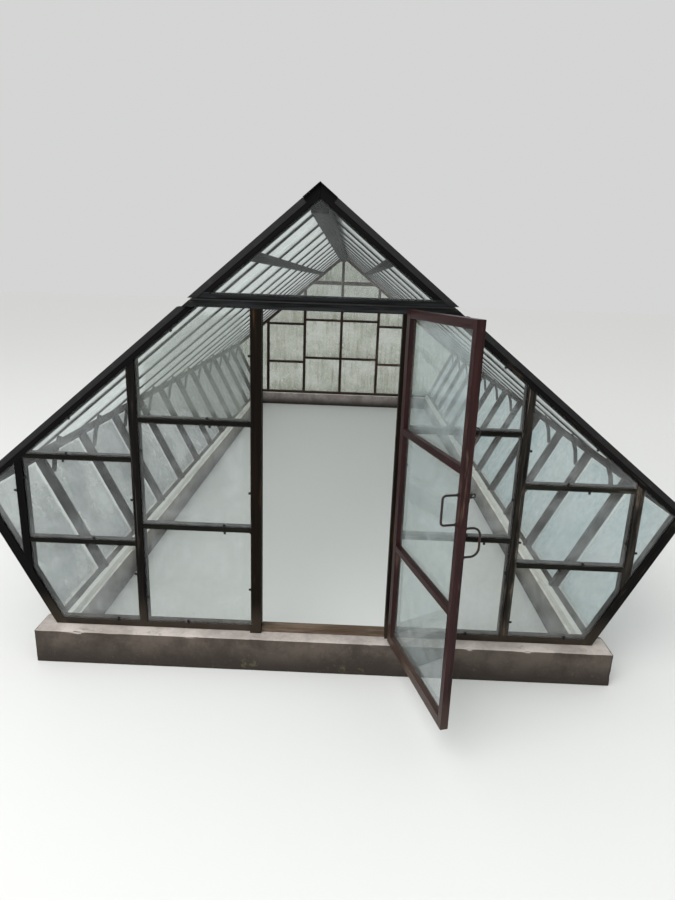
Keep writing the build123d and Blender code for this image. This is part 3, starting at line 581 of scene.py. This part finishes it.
def hazedGlass(name, look):
    # a clear pane that lets the view through, a film of lime over part of it, and a mirror that
    # grows towards grazing angles
    material, tree = newMaterial(name)
    read = {key: addNode(tree, "ShaderNodeAttribute", attribute_name=key).outputs["Fac"]
            for key in ("edgeDistance", "footDistance", "paneTone", "mapAcross", "mapRise")}
    place = addNode(tree, "ShaderNodeCombineXYZ", {0: read["mapAcross"], 1: read["mapRise"]})
    marks = {}
    for mark, (width, squeeze, detail, roughness) in glassMarks.items():
        drawn = addNode(tree, "ShaderNodeMapping", {"Vector": place, "Scale": (1, squeeze, 1)})
        marks[mark] = addNode(tree, "ShaderNodeTexNoise", {
            "Vector": drawn, "Scale": lumpScale(width * mm), "Detail": detail, "Roughness": roughness})
    cloud, streak, smear, speck, ripple = marks.values()
    mottle = addNode(tree, "ShaderNodeMath", {0: smear, 1: glassWeights["smear"], 2: cloud},
                     operation="MULTIPLY_ADD")
    clouded = addNode(tree, "ShaderNodeMapRange", {0: mottle, **glassRanges["clouded"]}, **smooth)
    streaked = addNode(tree, "ShaderNodeMapRange", {0: streak, **glassRanges["streaked"]}, **smooth)
    streaked = addNode(tree, "ShaderNodeMath", {0: streaked, 1: clouded}, operation="MULTIPLY")
    speckled = addNode(tree, "ShaderNodeMapRange", {0: speck, **glassRanges["speckled"]}, **smooth)
    smeared = addNode(tree, "ShaderNodeMapRange", {0: smear, **glassRanges["smeared"]})
    rim = addNode(tree, "ShaderNodeMapRange", {
        0: cloud, **glassRanges["rim"], 3: glassWeights["leastRim"] * look["rim"], 4: look["rim"]})
    edge = addNode(tree, "ShaderNodeMapRange", {
        0: read["edgeDistance"], **glassRanges["edge"], 3: rim}, **smooth)
    foot = addNode(tree, "ShaderNodeMapRange", {
        0: read["footDistance"], **glassRanges["foot"]}, **smooth)
    grime = addNode(tree, "ShaderNodeMath", {0: foot, 1: glassWeights["foot"], 2: edge},
                    operation="MULTIPLY_ADD")
    grime = addNode(tree, "ShaderNodeMath", {0: grime, 1: smeared}, operation="MULTIPLY")
    grime = addNode(tree, "ShaderNodeMath", {0: grime, 1: look["dirt"]}, operation="MULTIPLY",
                    use_clamp=True)
    # cover = film + the sum of each part * its share, less where the edges are washed, and grime
    cover = look["film"]
    for part, share in ((clouded, look["cloud"]), (streaked, look["streak"]),
                        (speckled, glassWeights["speck"] * look["cloud"]),
                        (read["paneTone"], glassWeights["tone"] * look["cloud"])):
        cover = addNode(tree, "ShaderNodeMath", {0: part, 1: share, 2: cover},
                        operation="MULTIPLY_ADD")
    washed = addNode(tree, "ShaderNodeMapRange", {
        0: read["edgeDistance"], **glassRanges["washed"], 3: look["washed"]}, **smooth)
    cover = addNode(tree, "ShaderNodeMath", {0: cover, 1: washed}, operation="MULTIPLY")
    cover = addNode(tree, "ShaderNodeMath", {0: grime, 1: glassWeights["grime"], 2: cover},
                    operation="MULTIPLY_ADD", use_clamp=True)
    film = addNode(tree, "ShaderNodeMix", {0: smeared, 6: look["haze"], 7: look["pale"]}, **blend)
    film = addNode(tree, "ShaderNodeMix", {0: grime, 6: film, 7: look["grime"]}, **blend)
    # the milky pane's green-grey film: partly heavy dust and partly a painted reflection of leaves
    dull = addNode(tree, "ShaderNodeMapRange", {
        0: read["paneTone"], 1: 1.0, 2: 1.0 + milkyPane["extra"], 4: milkyPane["dulled"]})
    film = addNode(tree, "ShaderNodeMix", {0: dull, 6: film, 7: milkyPane["dull"]}, **blend)
    dust = addNode(tree, "ShaderNodeBsdfPrincipled", {
        "Base Color": film, "Roughness": 0.75, "IOR": 1.45})
    glow = addNode(tree, "ShaderNodeBsdfTranslucent", {"Color": film})
    dust = addNode(tree, "ShaderNodeMixShader", {0: look["through"], 1: dust, 2: glow})
    clear = addNode(tree, "ShaderNodeBsdfTransparent", {"Color": "#f9fbfa"})
    pane = addNode(tree, "ShaderNodeMixShader", {0: cover, 1: clear, 2: dust})
    wave = addNode(tree, "ShaderNodeBump", {"Height": ripple, "Strength": 0.25, "Distance": 2 * mm})
    mirror = addNode(tree, "ShaderNodeBsdfGlossy", {"Normal": wave, "Roughness": 0.06})
    facing = addNode(tree, "ShaderNodeLayerWeight", {"Blend": 0.5}).outputs["Facing"]
    # the mirror's share = gloss * facing to a power + what glass mirrors seen straight on
    shine = addNode(tree, "ShaderNodeMath", {0: facing, 1: glassMirror["power"]}, operation="POWER")
    shine = addNode(tree, "ShaderNodeMath", {0: shine, 1: look["gloss"], 2: glassMirror["straight"]},
                    operation="MULTIPLY_ADD")
    surface = addNode(tree, "ShaderNodeMixShader", {0: shine, 1: pane, 2: mirror})
    addNode(tree, "ShaderNodeOutputMaterial", {"Surface": surface})
    return material


glazing = {  # node: (look, the way out of the house through its panes)
    "front_wall_glass": ("front", (0, -1, 0)),
    "front_gable_glass": ("gable", (0, -1, 0)),
    "back_wall_glass": ("back", (0, 1, 0)),
    "right_wall_glass": ("right", (rightWall[2], 0, -rightWall[0])),
    "left_wall_glass": ("left", (-rightWall[2], 0, -rightWall[0])),
    "right_roof_glass": ("roof", (rightRoof[2], 0, -rightRoof[0])),
    "left_roof_glass": ("roof", (-leftRoof[2], 0, leftRoof[0])),
    "door_glass": ("door", (-leafWide[1], leafWide[0], 0)),
}
glassOf = {key: hazedGlass("limedSheetGlass_" + key, look) for key, look in glassLooks.items()}
for node, (key, wayOut) in glazing.items():
    parts = [paneSheet(corners, wayOut) for corners in solidsOf(node)]
    mesh = meshFrom(node + "_panes", *joined([part[:2] for part in parts]))
    for name in parts[0][2]:
        writeAttribute(mesh, name, np.concatenate([part[2][name] for part in parts]))
    addPiece(node + "_panes", mesh, bodyOf(node), glassOf[key], (node,))
print("panes made")


# Concrete: strips cast between rough boards, with chipped arrises. The top is pale with lime and
# partly painted light from above;
# the sides are darker, stained by soil and partly painted shade, and darker still towards the bottom.

concreteLooks = {
    "dampAndShaded": {"top": "#b9b1ab", "topDark": "#98908a", "side": "#564e47", "sideDark": "#3b342f"},
    "limed": {"top": "#f4f1ea", "topDark": "#d2cdc4", "side": "#857e75", "sideDark": "#635c55"},
    "block": {"top": "#f6f3ee", "topDark": "#d8d2cc", "side": "#aaa09d", "sideDark": "#8b817e"},
}
concreteMarks = {  # width in mm, detail and roughness of the noise
    "blotch": (110, 5.0, 0.65),
    "sand": (5, 4.0, 0.7),
    "moss": (45, 5.0, 0.7),
}
concreteRanges = {  # as those of the timber
    "patch": {1: 0.35, 2: 0.65},
    "aboveFoot": {1: 0.0, 2: 0.17},  # by the height in metres
    "flatness": {1: 0.35, 2: 0.85},  # by how far up the face looks
    "mossy": {1: 0.58, 2: 0.72, 4: 0.5},
    "grit": {1: 0.60, 2: 0.85, 4: 0.12},
    "pits": {1: 0.40, 2: 0.28, 4: 0.6},
}
concreteTones = {"darkFoot": "#2f2925", "moss": "#5f5f45", "grit": "#c9c3ba", "pit": "#3a342f"}
concreteRelief = {"sand": 0.6}  # added to the blotches


def castConcrete(name, look):
    material, tree = newMaterial(name)
    place = addNode(tree, "ShaderNodeTexCoord").outputs["Object"]
    height = addNode(tree, "ShaderNodeSeparateXYZ", {0: place}).outputs["Z"]
    normal = addNode(tree, "ShaderNodeNewGeometry").outputs["Normal"]
    upward = addNode(tree, "ShaderNodeSeparateXYZ", {0: normal}).outputs["Z"]
    blotch, sand, moss = (
        addNode(tree, "ShaderNodeTexNoise", {
            "Vector": place, "Scale": lumpScale(width * mm), "Detail": detail, "Roughness": roughness})
        for width, detail, roughness in concreteMarks.values())
    patch = addNode(tree, "ShaderNodeMapRange", {0: blotch, **concreteRanges["patch"]}, **smooth)
    top = addNode(tree, "ShaderNodeMix", {0: patch, 6: look["top"], 7: look["topDark"]}, **blend)
    sides = addNode(tree, "ShaderNodeMix", {0: patch, 6: look["side"], 7: look["sideDark"]}, **blend)
    # the sides grow darker towards the bottom
    aboveFoot = addNode(tree, "ShaderNodeMapRange", {0: height, **concreteRanges["aboveFoot"]}, **smooth)
    sides = addNode(tree, "ShaderNodeMix", {0: aboveFoot, 6: concreteTones["darkFoot"], 7: sides}, **blend)
    # faces that look up take the pale top colour, partly painted light from above; the sides keep
    # darker colours, partly painted shade
    flatness = addNode(tree, "ShaderNodeMapRange", {0: upward, **concreteRanges["flatness"]}, **smooth)
    mossy = addNode(tree, "ShaderNodeMapRange", {0: moss, **concreteRanges["mossy"]}, **smooth)
    grit = addNode(tree, "ShaderNodeMapRange", {0: sand, **concreteRanges["grit"]}, **smooth)
    pits = addNode(tree, "ShaderNodeMapRange", {0: sand, **concreteRanges["pits"]})
    colour = sides
    for share, tone in ((flatness, top), (mossy, concreteTones["moss"]),
                        (grit, concreteTones["grit"]), (pits, concreteTones["pit"])):
        colour = addNode(tree, "ShaderNodeMix", {0: share, 6: colour, 7: tone}, **blend)
    relief = addNode(tree, "ShaderNodeMath", {0: sand, 1: concreteRelief["sand"], 2: blotch},
                     operation="MULTIPLY_ADD")
    bump = addNode(tree, "ShaderNodeBump", {"Height": relief, "Strength": 0.7, "Distance": 3 * mm})
    shader = addNode(tree, "ShaderNodeBsdfPrincipled", {
        "Base Color": colour, "Normal": bump, "Roughness": 0.93, "IOR": 1.45,
        "Specular IOR Level": 0.3})
    addNode(tree, "ShaderNodeOutputMaterial", {"Surface": shader})
    return material


concrete = {
    "arris": 7 * mm,  # radius of the cast edges
    "step": 14 * mm,  # grid spacing
    "wear": ((90 * mm, 2.0 * mm), (22 * mm, 1.4 * mm)),  # lumps: how wide and how deep
    "chip": (55 * mm, 13 * mm, 0.60),  # chips: how wide, how deep, and how rare
    "blockLength": 580 * mm,  # the back strip is laid in blocks
    "joint": (7 * mm, 7 * mm),  # half the joint's width, and its depth
    "nearEdge": 16 * mm,  # how far in from an arris the chips reach
    "rooted": 25 * mm,  # wear fades out this near the underside
    "closing": (0.0, 0.4, 0.8, 0.97),  # the section's share at the steps that close an end
    "square": 0.9,  # above this share a step belongs to the sides
    "seeds": (20, 3, 7),  # the first strip's, and the steps to the next node's and to the chips'
    "weld": 0.02 * mm,
}


def sectionRound(halfWidth, halfHeight):
    # once round a rectangle with quarter-round arrises, with the way out at each point and how near
    # it is to an arris: four arcs, and even steps on the flats between them
    radius = concrete["arris"]
    centres = np.array([[1, 1], [-1, 1], [-1, -1], [1, -1]])
    centres = centres * (halfWidth - radius, halfHeight - radius)
    angles = np.linspace(0, math.pi / 2, 4) + np.arange(4)[:, None] * math.pi / 2
    ways = np.stack([np.cos(angles), np.sin(angles)], axis=-1)
    arcs = centres[:, None] + radius * ways
    points, normals = [], []
    for turn in range(4):
        end, start = arcs[turn, -1], arcs[(turn + 1) % 4, 0]
        count = round(np.linalg.norm(start - end) / concrete["step"])
        share = np.arange(1, count)[:, None] / count
        points += [arcs[turn], end + share * (start - end)]
        normals += [ways[turn], np.repeat(ways[turn, -1:], count - 1, axis=0)]
    points, normals = np.vstack(points), np.vstack(normals)
    toArris = np.hypot(halfWidth - abs(points[:, 0]), halfHeight - abs(points[:, 1]))
    return points, normals, np.exp(-((toArris / concrete["nearEdge"]) ** 2))


def roughStrip(low, high, blocks, seed):
    # point(s, t) = axis(s) + section(t) * close(s) - way out * depth(s, t): the section is carried
    # along the strip and closes to a point at both ends, and depth adds up the worn lumps, the
    # chips on the arrises and the joints between blocks, and fades to nothing at the underside
    size, middle = high - low, (low + high) / 2
    run = int(np.argmax(size[:2]))
    half = size[run] / 2
    section, ways, arris = sectionRound(size[1 - run] / 2, size[2] / 2)
    body = np.linspace(-half, half, round(2 * half / concrete["step"]))
    closing = concrete["closing"]
    stations = np.concatenate([[-half] * len(closing), body, [half] * len(closing)])
    close = np.concatenate([closing, np.ones(len(body)), closing[::-1]])
    square = close > concrete["square"]
    atEnd = np.exp(-(((half - abs(stations)) / concrete["nearEdge"]) ** 2)) * square
    grid = np.empty((len(stations), len(section), 3))
    grid[..., run] = stations[:, None]
    grid[..., 1 - run] = section[:, 0] * close[:, None]
    grid[..., 2] = section[:, 1] * close[:, None]
    flat = grid.reshape(-1, 3) + middle
    depth = sum(lumps(flat, width, seed) * deep for width, deep in concrete["wear"])
    width, deep, rare = concrete["chip"]
    chips = ((lumps(flat, width, seed + concrete["seeds"][2]) - rare) / (1 - rare)).clip(0, 1)
    nearArris = np.maximum(arris[None], atEnd[:, None]).reshape(-1)
    depth += chips * nearArris * deep
    if blocks:
        length, (halfJoint, jointDepth) = concrete["blockLength"], concrete["joint"]
        toJoint = abs((flat[:, run] / length + 0.5) % 1 - 0.5) * length
        depth += (1 - toJoint / halfJoint).clip(0, 1) * jointDepth
    depth = depth * ((flat[:, 2] - low[2]) / concrete["rooted"]).clip(0, 1)
    out = np.zeros_like(grid)
    out[..., 1 - run] = ways[:, 0] * square[:, None]
    out[..., 2] = ways[:, 1] * square[:, None]
    out[..., run] = np.sign(stations[:, None]) * (close[:, None] < 1)
    length = np.linalg.norm(out, axis=-1, keepdims=True)
    flat = flat - (out / length.clip(1e-6)).reshape(-1, 3) * depth[:, None]
    return flat, tubeFaces(len(stations), len(section))


def roughConcrete(node, strips, blocks, seed, material):
    name = node + "_cast"
    mesh = meshFrom(name, *joined([
        roughStrip(low, high, blocks, seed + place) for place, (low, high) in enumerate(strips)]))
    mendFaces(mesh, concrete["weld"])
    smoothFaces(mesh)
    addPiece(name, mesh, bodyOf(node), material, (node,))


castMaterials = {
    key: castConcrete(key + "BoardCastConcrete", look) for key, look in concreteLooks.items()}
foundations = {"front_foundation": "dampAndShaded", "back_foundation": "block", "side_foundations": "limed"}
for turn, (node, key) in enumerate(foundations.items()):
    strips = [(solid.min(axis=0), solid.max(axis=0)) for solid in solidsOf(node)]
    seed = concrete["seeds"][0] + concrete["seeds"][1] * turn
    roughConcrete(node, strips, node == "back_foundation", seed, castMaterials[key])
print("foundations cast")


# Sheet and iron: folded strips on the ridge, the verges and the tie beam, and the door's ironwork

sheetPaint = {
    "dents": 70 * mm,
    "dust": 30 * mm,
    "paint": "#0c0b0c",
    "dusty": "#2a2827",
    "lies": {1: 0.5, 2: 0.8},
    "rough": {1: 0.3, 2: 0.7, 3: 0.45, 4: 0.7},
}
rustBloom = {
    "width": 7 * mm,
    "shows": {1: 0.42, 2: 0.68},
    "rough": {1: 0.4, 2: 0.7, 3: 0.45, 4: 0.85},
}


def blackSheet(name):
    # roofing sheet under black bitumen paint: low sheen, dust lying in its dents
    material, tree = newMaterial(name)
    place = addNode(tree, "ShaderNodeTexCoord").outputs["Object"]
    dent = addNode(tree, "ShaderNodeTexNoise", {
        "Vector": place, "Scale": lumpScale(sheetPaint["dents"]), "Detail": 3.0, "Roughness": 0.5})
    dust = addNode(tree, "ShaderNodeTexNoise", {
        "Vector": place, "Scale": lumpScale(sheetPaint["dust"]), "Detail": 5.0, "Roughness": 0.7})
    dusty = addNode(tree, "ShaderNodeMapRange", {0: dust, **sheetPaint["lies"]}, **smooth)
    colour = addNode(tree, "ShaderNodeMix", {
        0: dusty, 6: sheetPaint["paint"], 7: sheetPaint["dusty"]}, **blend)
    rough = addNode(tree, "ShaderNodeMapRange", {0: dust, **sheetPaint["rough"]})
    bump = addNode(tree, "ShaderNodeBump", {"Height": dent, "Strength": 0.5, "Distance": 2 * mm})
    shader = addNode(tree, "ShaderNodeBsdfPrincipled", {
        "Base Color": colour, "Roughness": rough, "Normal": bump, "IOR": 1.5,
        "Specular IOR Level": 0.3})
    addNode(tree, "ShaderNodeOutputMaterial", {"Surface": shader})
    return material


def rustyIron(name, sound, rust):
    # forged and bent mild steel, brown-black with a fine rust bloom
    material, tree = newMaterial(name)
    place = addNode(tree, "ShaderNodeTexCoord").outputs["Object"]
    bloom = addNode(tree, "ShaderNodeTexNoise", {
        "Vector": place, "Scale": lumpScale(rustBloom["width"]), "Detail": 5.0, "Roughness": 0.7})
    rusted = addNode(tree, "ShaderNodeMapRange", {0: bloom, **rustBloom["shows"]}, **smooth)
    colour = addNode(tree, "ShaderNodeMix", {0: rusted, 6: sound, 7: rust}, **blend)
    rough = addNode(tree, "ShaderNodeMapRange", {0: bloom, **rustBloom["rough"]})
    bump = addNode(tree, "ShaderNodeBump", {"Height": bloom, "Strength": 0.4, "Distance": 0.4 * mm})
    shader = addNode(tree, "ShaderNodeBsdfPrincipled", {
        "Base Color": colour, "Roughness": rough, "Normal": bump, "Metallic": 0.35})
    addNode(tree, "ShaderNodeOutputMaterial", {"Surface": shader})
    return material


def dress(names, material):
    # CAD nodes that keep their shape take a better material
    for name in names:
        nodes[name].data.materials.clear()
        nodes[name].data.materials.append(material)


ironMaterial = rustyIron("rustBloomedSteel", "#161211", "#3a241b")
tabMaterial = rustyIron("overpaintedSteelTabs", "#0c0b0a", "#1d1713")
dress(["ridge_cap", "front_verge_strips", "back_verge_strips", "tie_flashing"],
      blackSheet("bitumenPaintedSheet"))
dress(["door_handles", "door_hinges", "door_hasp", "hinge_pins"], ironMaterial)
print("sheet and iron dressed")


# Small fixings: tabs that hold the gable panes, the handles' nuts and washers, a staple and screws

clips = {
    # how far inwards and outwards of the pane's edge, and the width, in mm
    "profile": ((17, 0.8), (17, 2.0), (2, 1.3), (0.8, 9.5), (-0.6, 9.5), (-0.6, 0.1)),
    "width": 13.0,
    "shortest": 420 * mm,  # an edge shorter than this has none
    "spacing": 900 * mm,
    "uneven": 0.3,  # how far chance moves one, as a share of the even spacing
}


def glazingClips(node):
    # tab(k) = place(k) + profile inwards and out of the pane + width along its edge; the places are
    # spread evenly along every long edge of each pane, then moved a little by chance
    profile = np.array(clips["profile"]) * mm
    count = len(profile)
    places, axes = [], []
    for corners in solidsOf(node):
        outline, _, normal, _, _, half = paneFrame(corners, glazing[node][1])
        for start, end in zip(outline, np.roll(outline, -1, axis=0)):
            run = np.linalg.norm(end - start)
            if run < clips["shortest"]:
                continue
            along = (end - start) / run
            number = max(1, round(run / clips["spacing"]))
            uneven = chance.uniform(-clips["uneven"], clips["uneven"], number)
            share = (np.arange(number) + 0.5 + uneven) / number
            places.append(start + share[:, None] * (end - start) + normal * half)
            turn = np.stack([np.cross(normal, along), normal, along])
            axes.append(np.repeat(turn[None], number, axis=0))
    places, axes = np.vstack(places), np.concatenate(axes)
    halves = np.array([-0.5, 0.5]) * clips["width"] * mm
    local = np.concatenate([np.column_stack([profile, np.full(count, half)]) for half in halves])
    points = (places[:, None] + np.einsum("vi,kij->kvj", local, axes)).reshape(-1, 3)
    here = np.arange(count)
    one = tubeFaces(2, count) + [here[::-1].tolist(), (here + count).tolist()]
    faces = [[corner + 2 * count * k for corner in face] for k in range(len(places)) for face in one]
    name = node + "_clips"
    mesh = meshFrom(name, points, faces)
    mendFaces(mesh)
    addPiece(name, mesh, bodyOf(node), tabMaterial)


for node in ("front_wall_glass", "back_wall_glass"):
    glazingClips(node)

fixings = {  # profile: radius and height in mm
    "handleWashers": {"profile": ((10, 0), (10, 1.4), (7.5, 1.8), (0, 1.8)), "segments": 20},
    "handleNuts": {"profile": ((8, 1.5), (8, 5.6), (7, 6.4), (0, 6.4)), "segments": 6},
    "screws": {"profile": ((3.8, 0), (3.6, 0.8), (2.6, 1.6), (1.2, 2.0), (0, 2.1)), "segments": 14},
}
# places on the shut leaf, and the last on the post, in mm
innerHandleFeet = [(-335, -22, 1260 + side) for side in (-65, 65)]
outerHandleFeet = [(-347, -60, 1115 + side) for side in (-65, 65)]
haspScrews = [(-342, -63, 1320 + side) for side in (-17, 17)]
flapScrews = [(397, -22.5, joint - drop) for joint in (500, 1700) for drop in (14, 46)]


def turned(kind, places, outwards):
    # point(k, s, t) = place(k) + radius(t) * (cos s, sin s) across + height(t) outwards along Y
    look = fixings[kind]
    radius, height = (np.array(look["profile"]) * mm).T
    angles = np.arange(look["segments"]) * 2 * math.pi / look["segments"]
    rings = np.stack([
        np.outer(radius, np.cos(angles)),
        np.repeat(height[:, None] * outwards, len(angles), axis=1),
        np.outer(radius, np.sin(angles)),
    ], axis=-1)
    one = rings.reshape(-1, 3)
    points = (np.array(places, float)[:, None] * mm + one).reshape(-1, 3)
    count = len(angles)
    faces = tubeFaces(len(radius), count) + [list(range(count))]
    return points, [
        [corner + len(one) * k for corner in face] for k in range(len(places)) for face in faces]


def swingOpen(points):
    # turns points drawn on the shut leaf about the hinge line to where the leaf stands open
    hinge = np.array([*shell["hingeLine"], 0]) * mm
    angle = math.radians(shell["openAngle"])
    spin = np.array([
        [math.cos(angle), math.sin(angle), 0], [-math.sin(angle), math.cos(angle), 0], [0, 0, 1]])
    return (points - hinge) @ spin + hinge


def addFixings(name, groups, body, swung):
    # one mesh of turned shapes; those of the leaf are drawn on the shut door and swung open
    points, faces = joined([turned(*group) for group in groups])
    mesh = meshFrom(name, swingOpen(points) if swung else points, faces)
    mendFaces(mesh, easing["weld"])
    addPiece(name, mesh, body, ironMaterial)


staple = {  # a bent iron staple above the hasp, on the shut leaf's outer face, in mm
    "place": (-342, -60, 1590),
    "reach": 27,
    "rise": 34,
    "radius": 3.2,
    "rooted": 1,
    "bendSteps": 9,
    "sides": 10,
}


def addStaple(name, body):
    # point(s, t) = path(s) + radius * (cos t * across + sin t * square to the path); the path runs
    # out from the leaf, round a half circle and back: place + reach * out, then rise / 2 * (sin, cos)
    rise = staple["rise"] / 2
    bend = np.linspace(math.pi / 2, -math.pi / 2, staple["bendSteps"])
    rooted = [-staple["rooted"]]
    outwards = np.concatenate([rooted, staple["reach"] - rise + rise * np.cos(bend), rooted])
    upwards = np.concatenate([[rise], rise * np.sin(bend), [-rise]])
    path = np.stack([np.zeros(len(outwards)), -outwards, upwards], axis=1) + np.array(staple["place"])
    heading = np.gradient(path, axis=0)
    heading = heading / np.linalg.norm(heading, axis=1)[:, None]
    square = np.cross(heading, across)
    angles = np.arange(staple["sides"]) * 2 * math.pi / staple["sides"]
    ring = np.cos(angles)[:, None] * np.array(across) + np.sin(angles)[:, None] * square[:, None]
    points = (path[:, None] + staple["radius"] * ring).reshape(-1, 3) * mm
    count = len(angles)
    here = np.arange(count)
    faces = tubeFaces(len(path), count) + [here[::-1].tolist(), (here + len(points) - count).tolist()]
    mesh = meshFrom(name, swingOpen(points), faces)
    mendFaces(mesh)
    smoothFaces(mesh)
    addPiece(name, mesh, body, ironMaterial)


leaf = bodyOf("door_stiles")
addStaple("leaf_staple", leaf)
addFixings("leaf_fixings", [
    ("handleWashers", innerHandleFeet, 1),
    ("handleNuts", innerHandleFeet, 1),
    ("handleWashers", outerHandleFeet, -1),
    ("handleNuts", outerHandleFeet, -1),
    ("screws", haspScrews, -1),
], leaf, True)
addFixings("post_fixings", [("screws", flapScrews, -1)], bodyOf("door_posts"), False)
print("fixings made")


# Studio: a pale floor and backdrop, one soft lamp and the photograph's camera

studio = {
    "floorHalf": 60.0,
    "floorDrop": 0.5 * mm,  # clear of the foundation's underside
    "floor": "#d4d5d3",
    "backdrop": "#d4d5d4",
    "skyStrength": 1.0,
    "lampEnergy": 1100.0,
    "lampSize": 9.0,
    "lampPlace": (-5.0, -6.0, 9.0),
    "lampAim": (0.0, 3.0, 0.8),
}


def plainFloor():
    half = studio["floorHalf"]
    ends = np.array([-half, half])
    x, y = np.meshgrid(ends, ends)
    points = np.stack([x.ravel(), y.ravel(), np.full(4, cadLow.z - studio["floorDrop"])], axis=1)
    mesh = meshFrom("floor", points, [[0, 1, 3, 2]])
    material, tree = newMaterial("matteFloor")
    shader = addNode(tree, "ShaderNodeBsdfPrincipled", {
        "Base Color": studio["floor"], "Roughness": 0.9, "Specular IOR Level": 0.1})
    addNode(tree, "ShaderNodeOutputMaterial", {"Surface": shader})
    mesh.materials.append(material)
    floor = bpy.data.objects.new("floor", mesh)
    bpy.context.scene.collection.objects.link(floor)


def softSky():
    # the camera, mirrors and glass see the pale backdrop; everything else is lit by plain white
    world = bpy.data.worlds.new("softSky")
    world.use_nodes = True
    tree = world.node_tree
    tree.nodes.clear()
    rays = addNode(tree, "ShaderNodeLightPath").outputs
    seen = rays["Is Camera Ray"]
    for ray in ("Is Glossy Ray", "Is Transmission Ray"):
        seen = addNode(tree, "ShaderNodeMath", {0: seen, 1: rays[ray]}, operation="MAXIMUM")
    light = addNode(tree, "ShaderNodeBackground", {0: "#ffffff", 1: studio["skyStrength"]})
    view = addNode(tree, "ShaderNodeBackground", {0: studio["backdrop"], 1: 1.0})
    both = addNode(tree, "ShaderNodeMixShader", {0: seen, 1: light, 2: view})
    addNode(tree, "ShaderNodeOutputWorld", {"Surface": both})
    bpy.context.scene.world = world


def softLamp():
    lamp = bpy.data.lights.new("softLamp", "AREA")
    lamp.energy = studio["lampEnergy"]
    lamp.size = studio["lampSize"]
    holder = bpy.data.objects.new("softLamp", lamp)
    bpy.context.scene.collection.objects.link(holder)
    holder.location = studio["lampPlace"]
    aim = Vector(studio["lampAim"]) - Vector(studio["lampPlace"])
    holder.rotation_mode = "QUATERNION"
    holder.rotation_quaternion = aim.to_track_quat("-Z", "Y")


view = {
    "place": (0.0963, -3.1214, 2.150),  # found from the vanishing lines of both gables
    "focalPixels": 616.7,  # on a picture as high as this
    "heightPixels": 900.0,
    "sensor": 36.0,
    "pitch": 15.331,
    "yaw": -0.8775,
    "roll": -1.992,
    "farthest": 200.0,
}


def photoCamera():
    # forward = (sin yaw cos pitch, cos yaw cos pitch, -sin pitch), right = (cos yaw, -sin yaw, 0),
    # down = forward x right, then right and down are turned by the roll
    pitch, yaw, roll = (math.radians(view[key]) for key in ("pitch", "yaw", "roll"))
    forward = Vector((
        math.sin(yaw) * math.cos(pitch), math.cos(yaw) * math.cos(pitch), -math.sin(pitch)))
    level = Vector((math.cos(yaw), -math.sin(yaw), 0))
    down = forward.cross(level)
    right = level * math.cos(roll) + down * math.sin(roll)
    down = down * math.cos(roll) - level * math.sin(roll)
    camera = bpy.data.cameras.new("photoCamera")
    camera.sensor_width = view["sensor"]
    camera.lens = view["sensor"] * view["focalPixels"] / view["heightPixels"]
    camera.clip_end = view["farthest"]
    holder = bpy.data.objects.new("photoCamera", camera)
    bpy.context.scene.collection.objects.link(holder)
    holder.matrix_world = Matrix((
        (right.x, -down.x, -forward.x, view["place"][0]),
        (right.y, -down.y, -forward.y, view["place"][1]),
        (right.z, -down.z, -forward.z, view["place"][2]),
        (0, 0, 0, 1),
    ))
    bpy.context.scene.camera = holder


plainFloor()
softSky()
softLamp()
photoCamera()
bpy.context.scene.view_settings.view_transform = "Standard"
print("studio set")
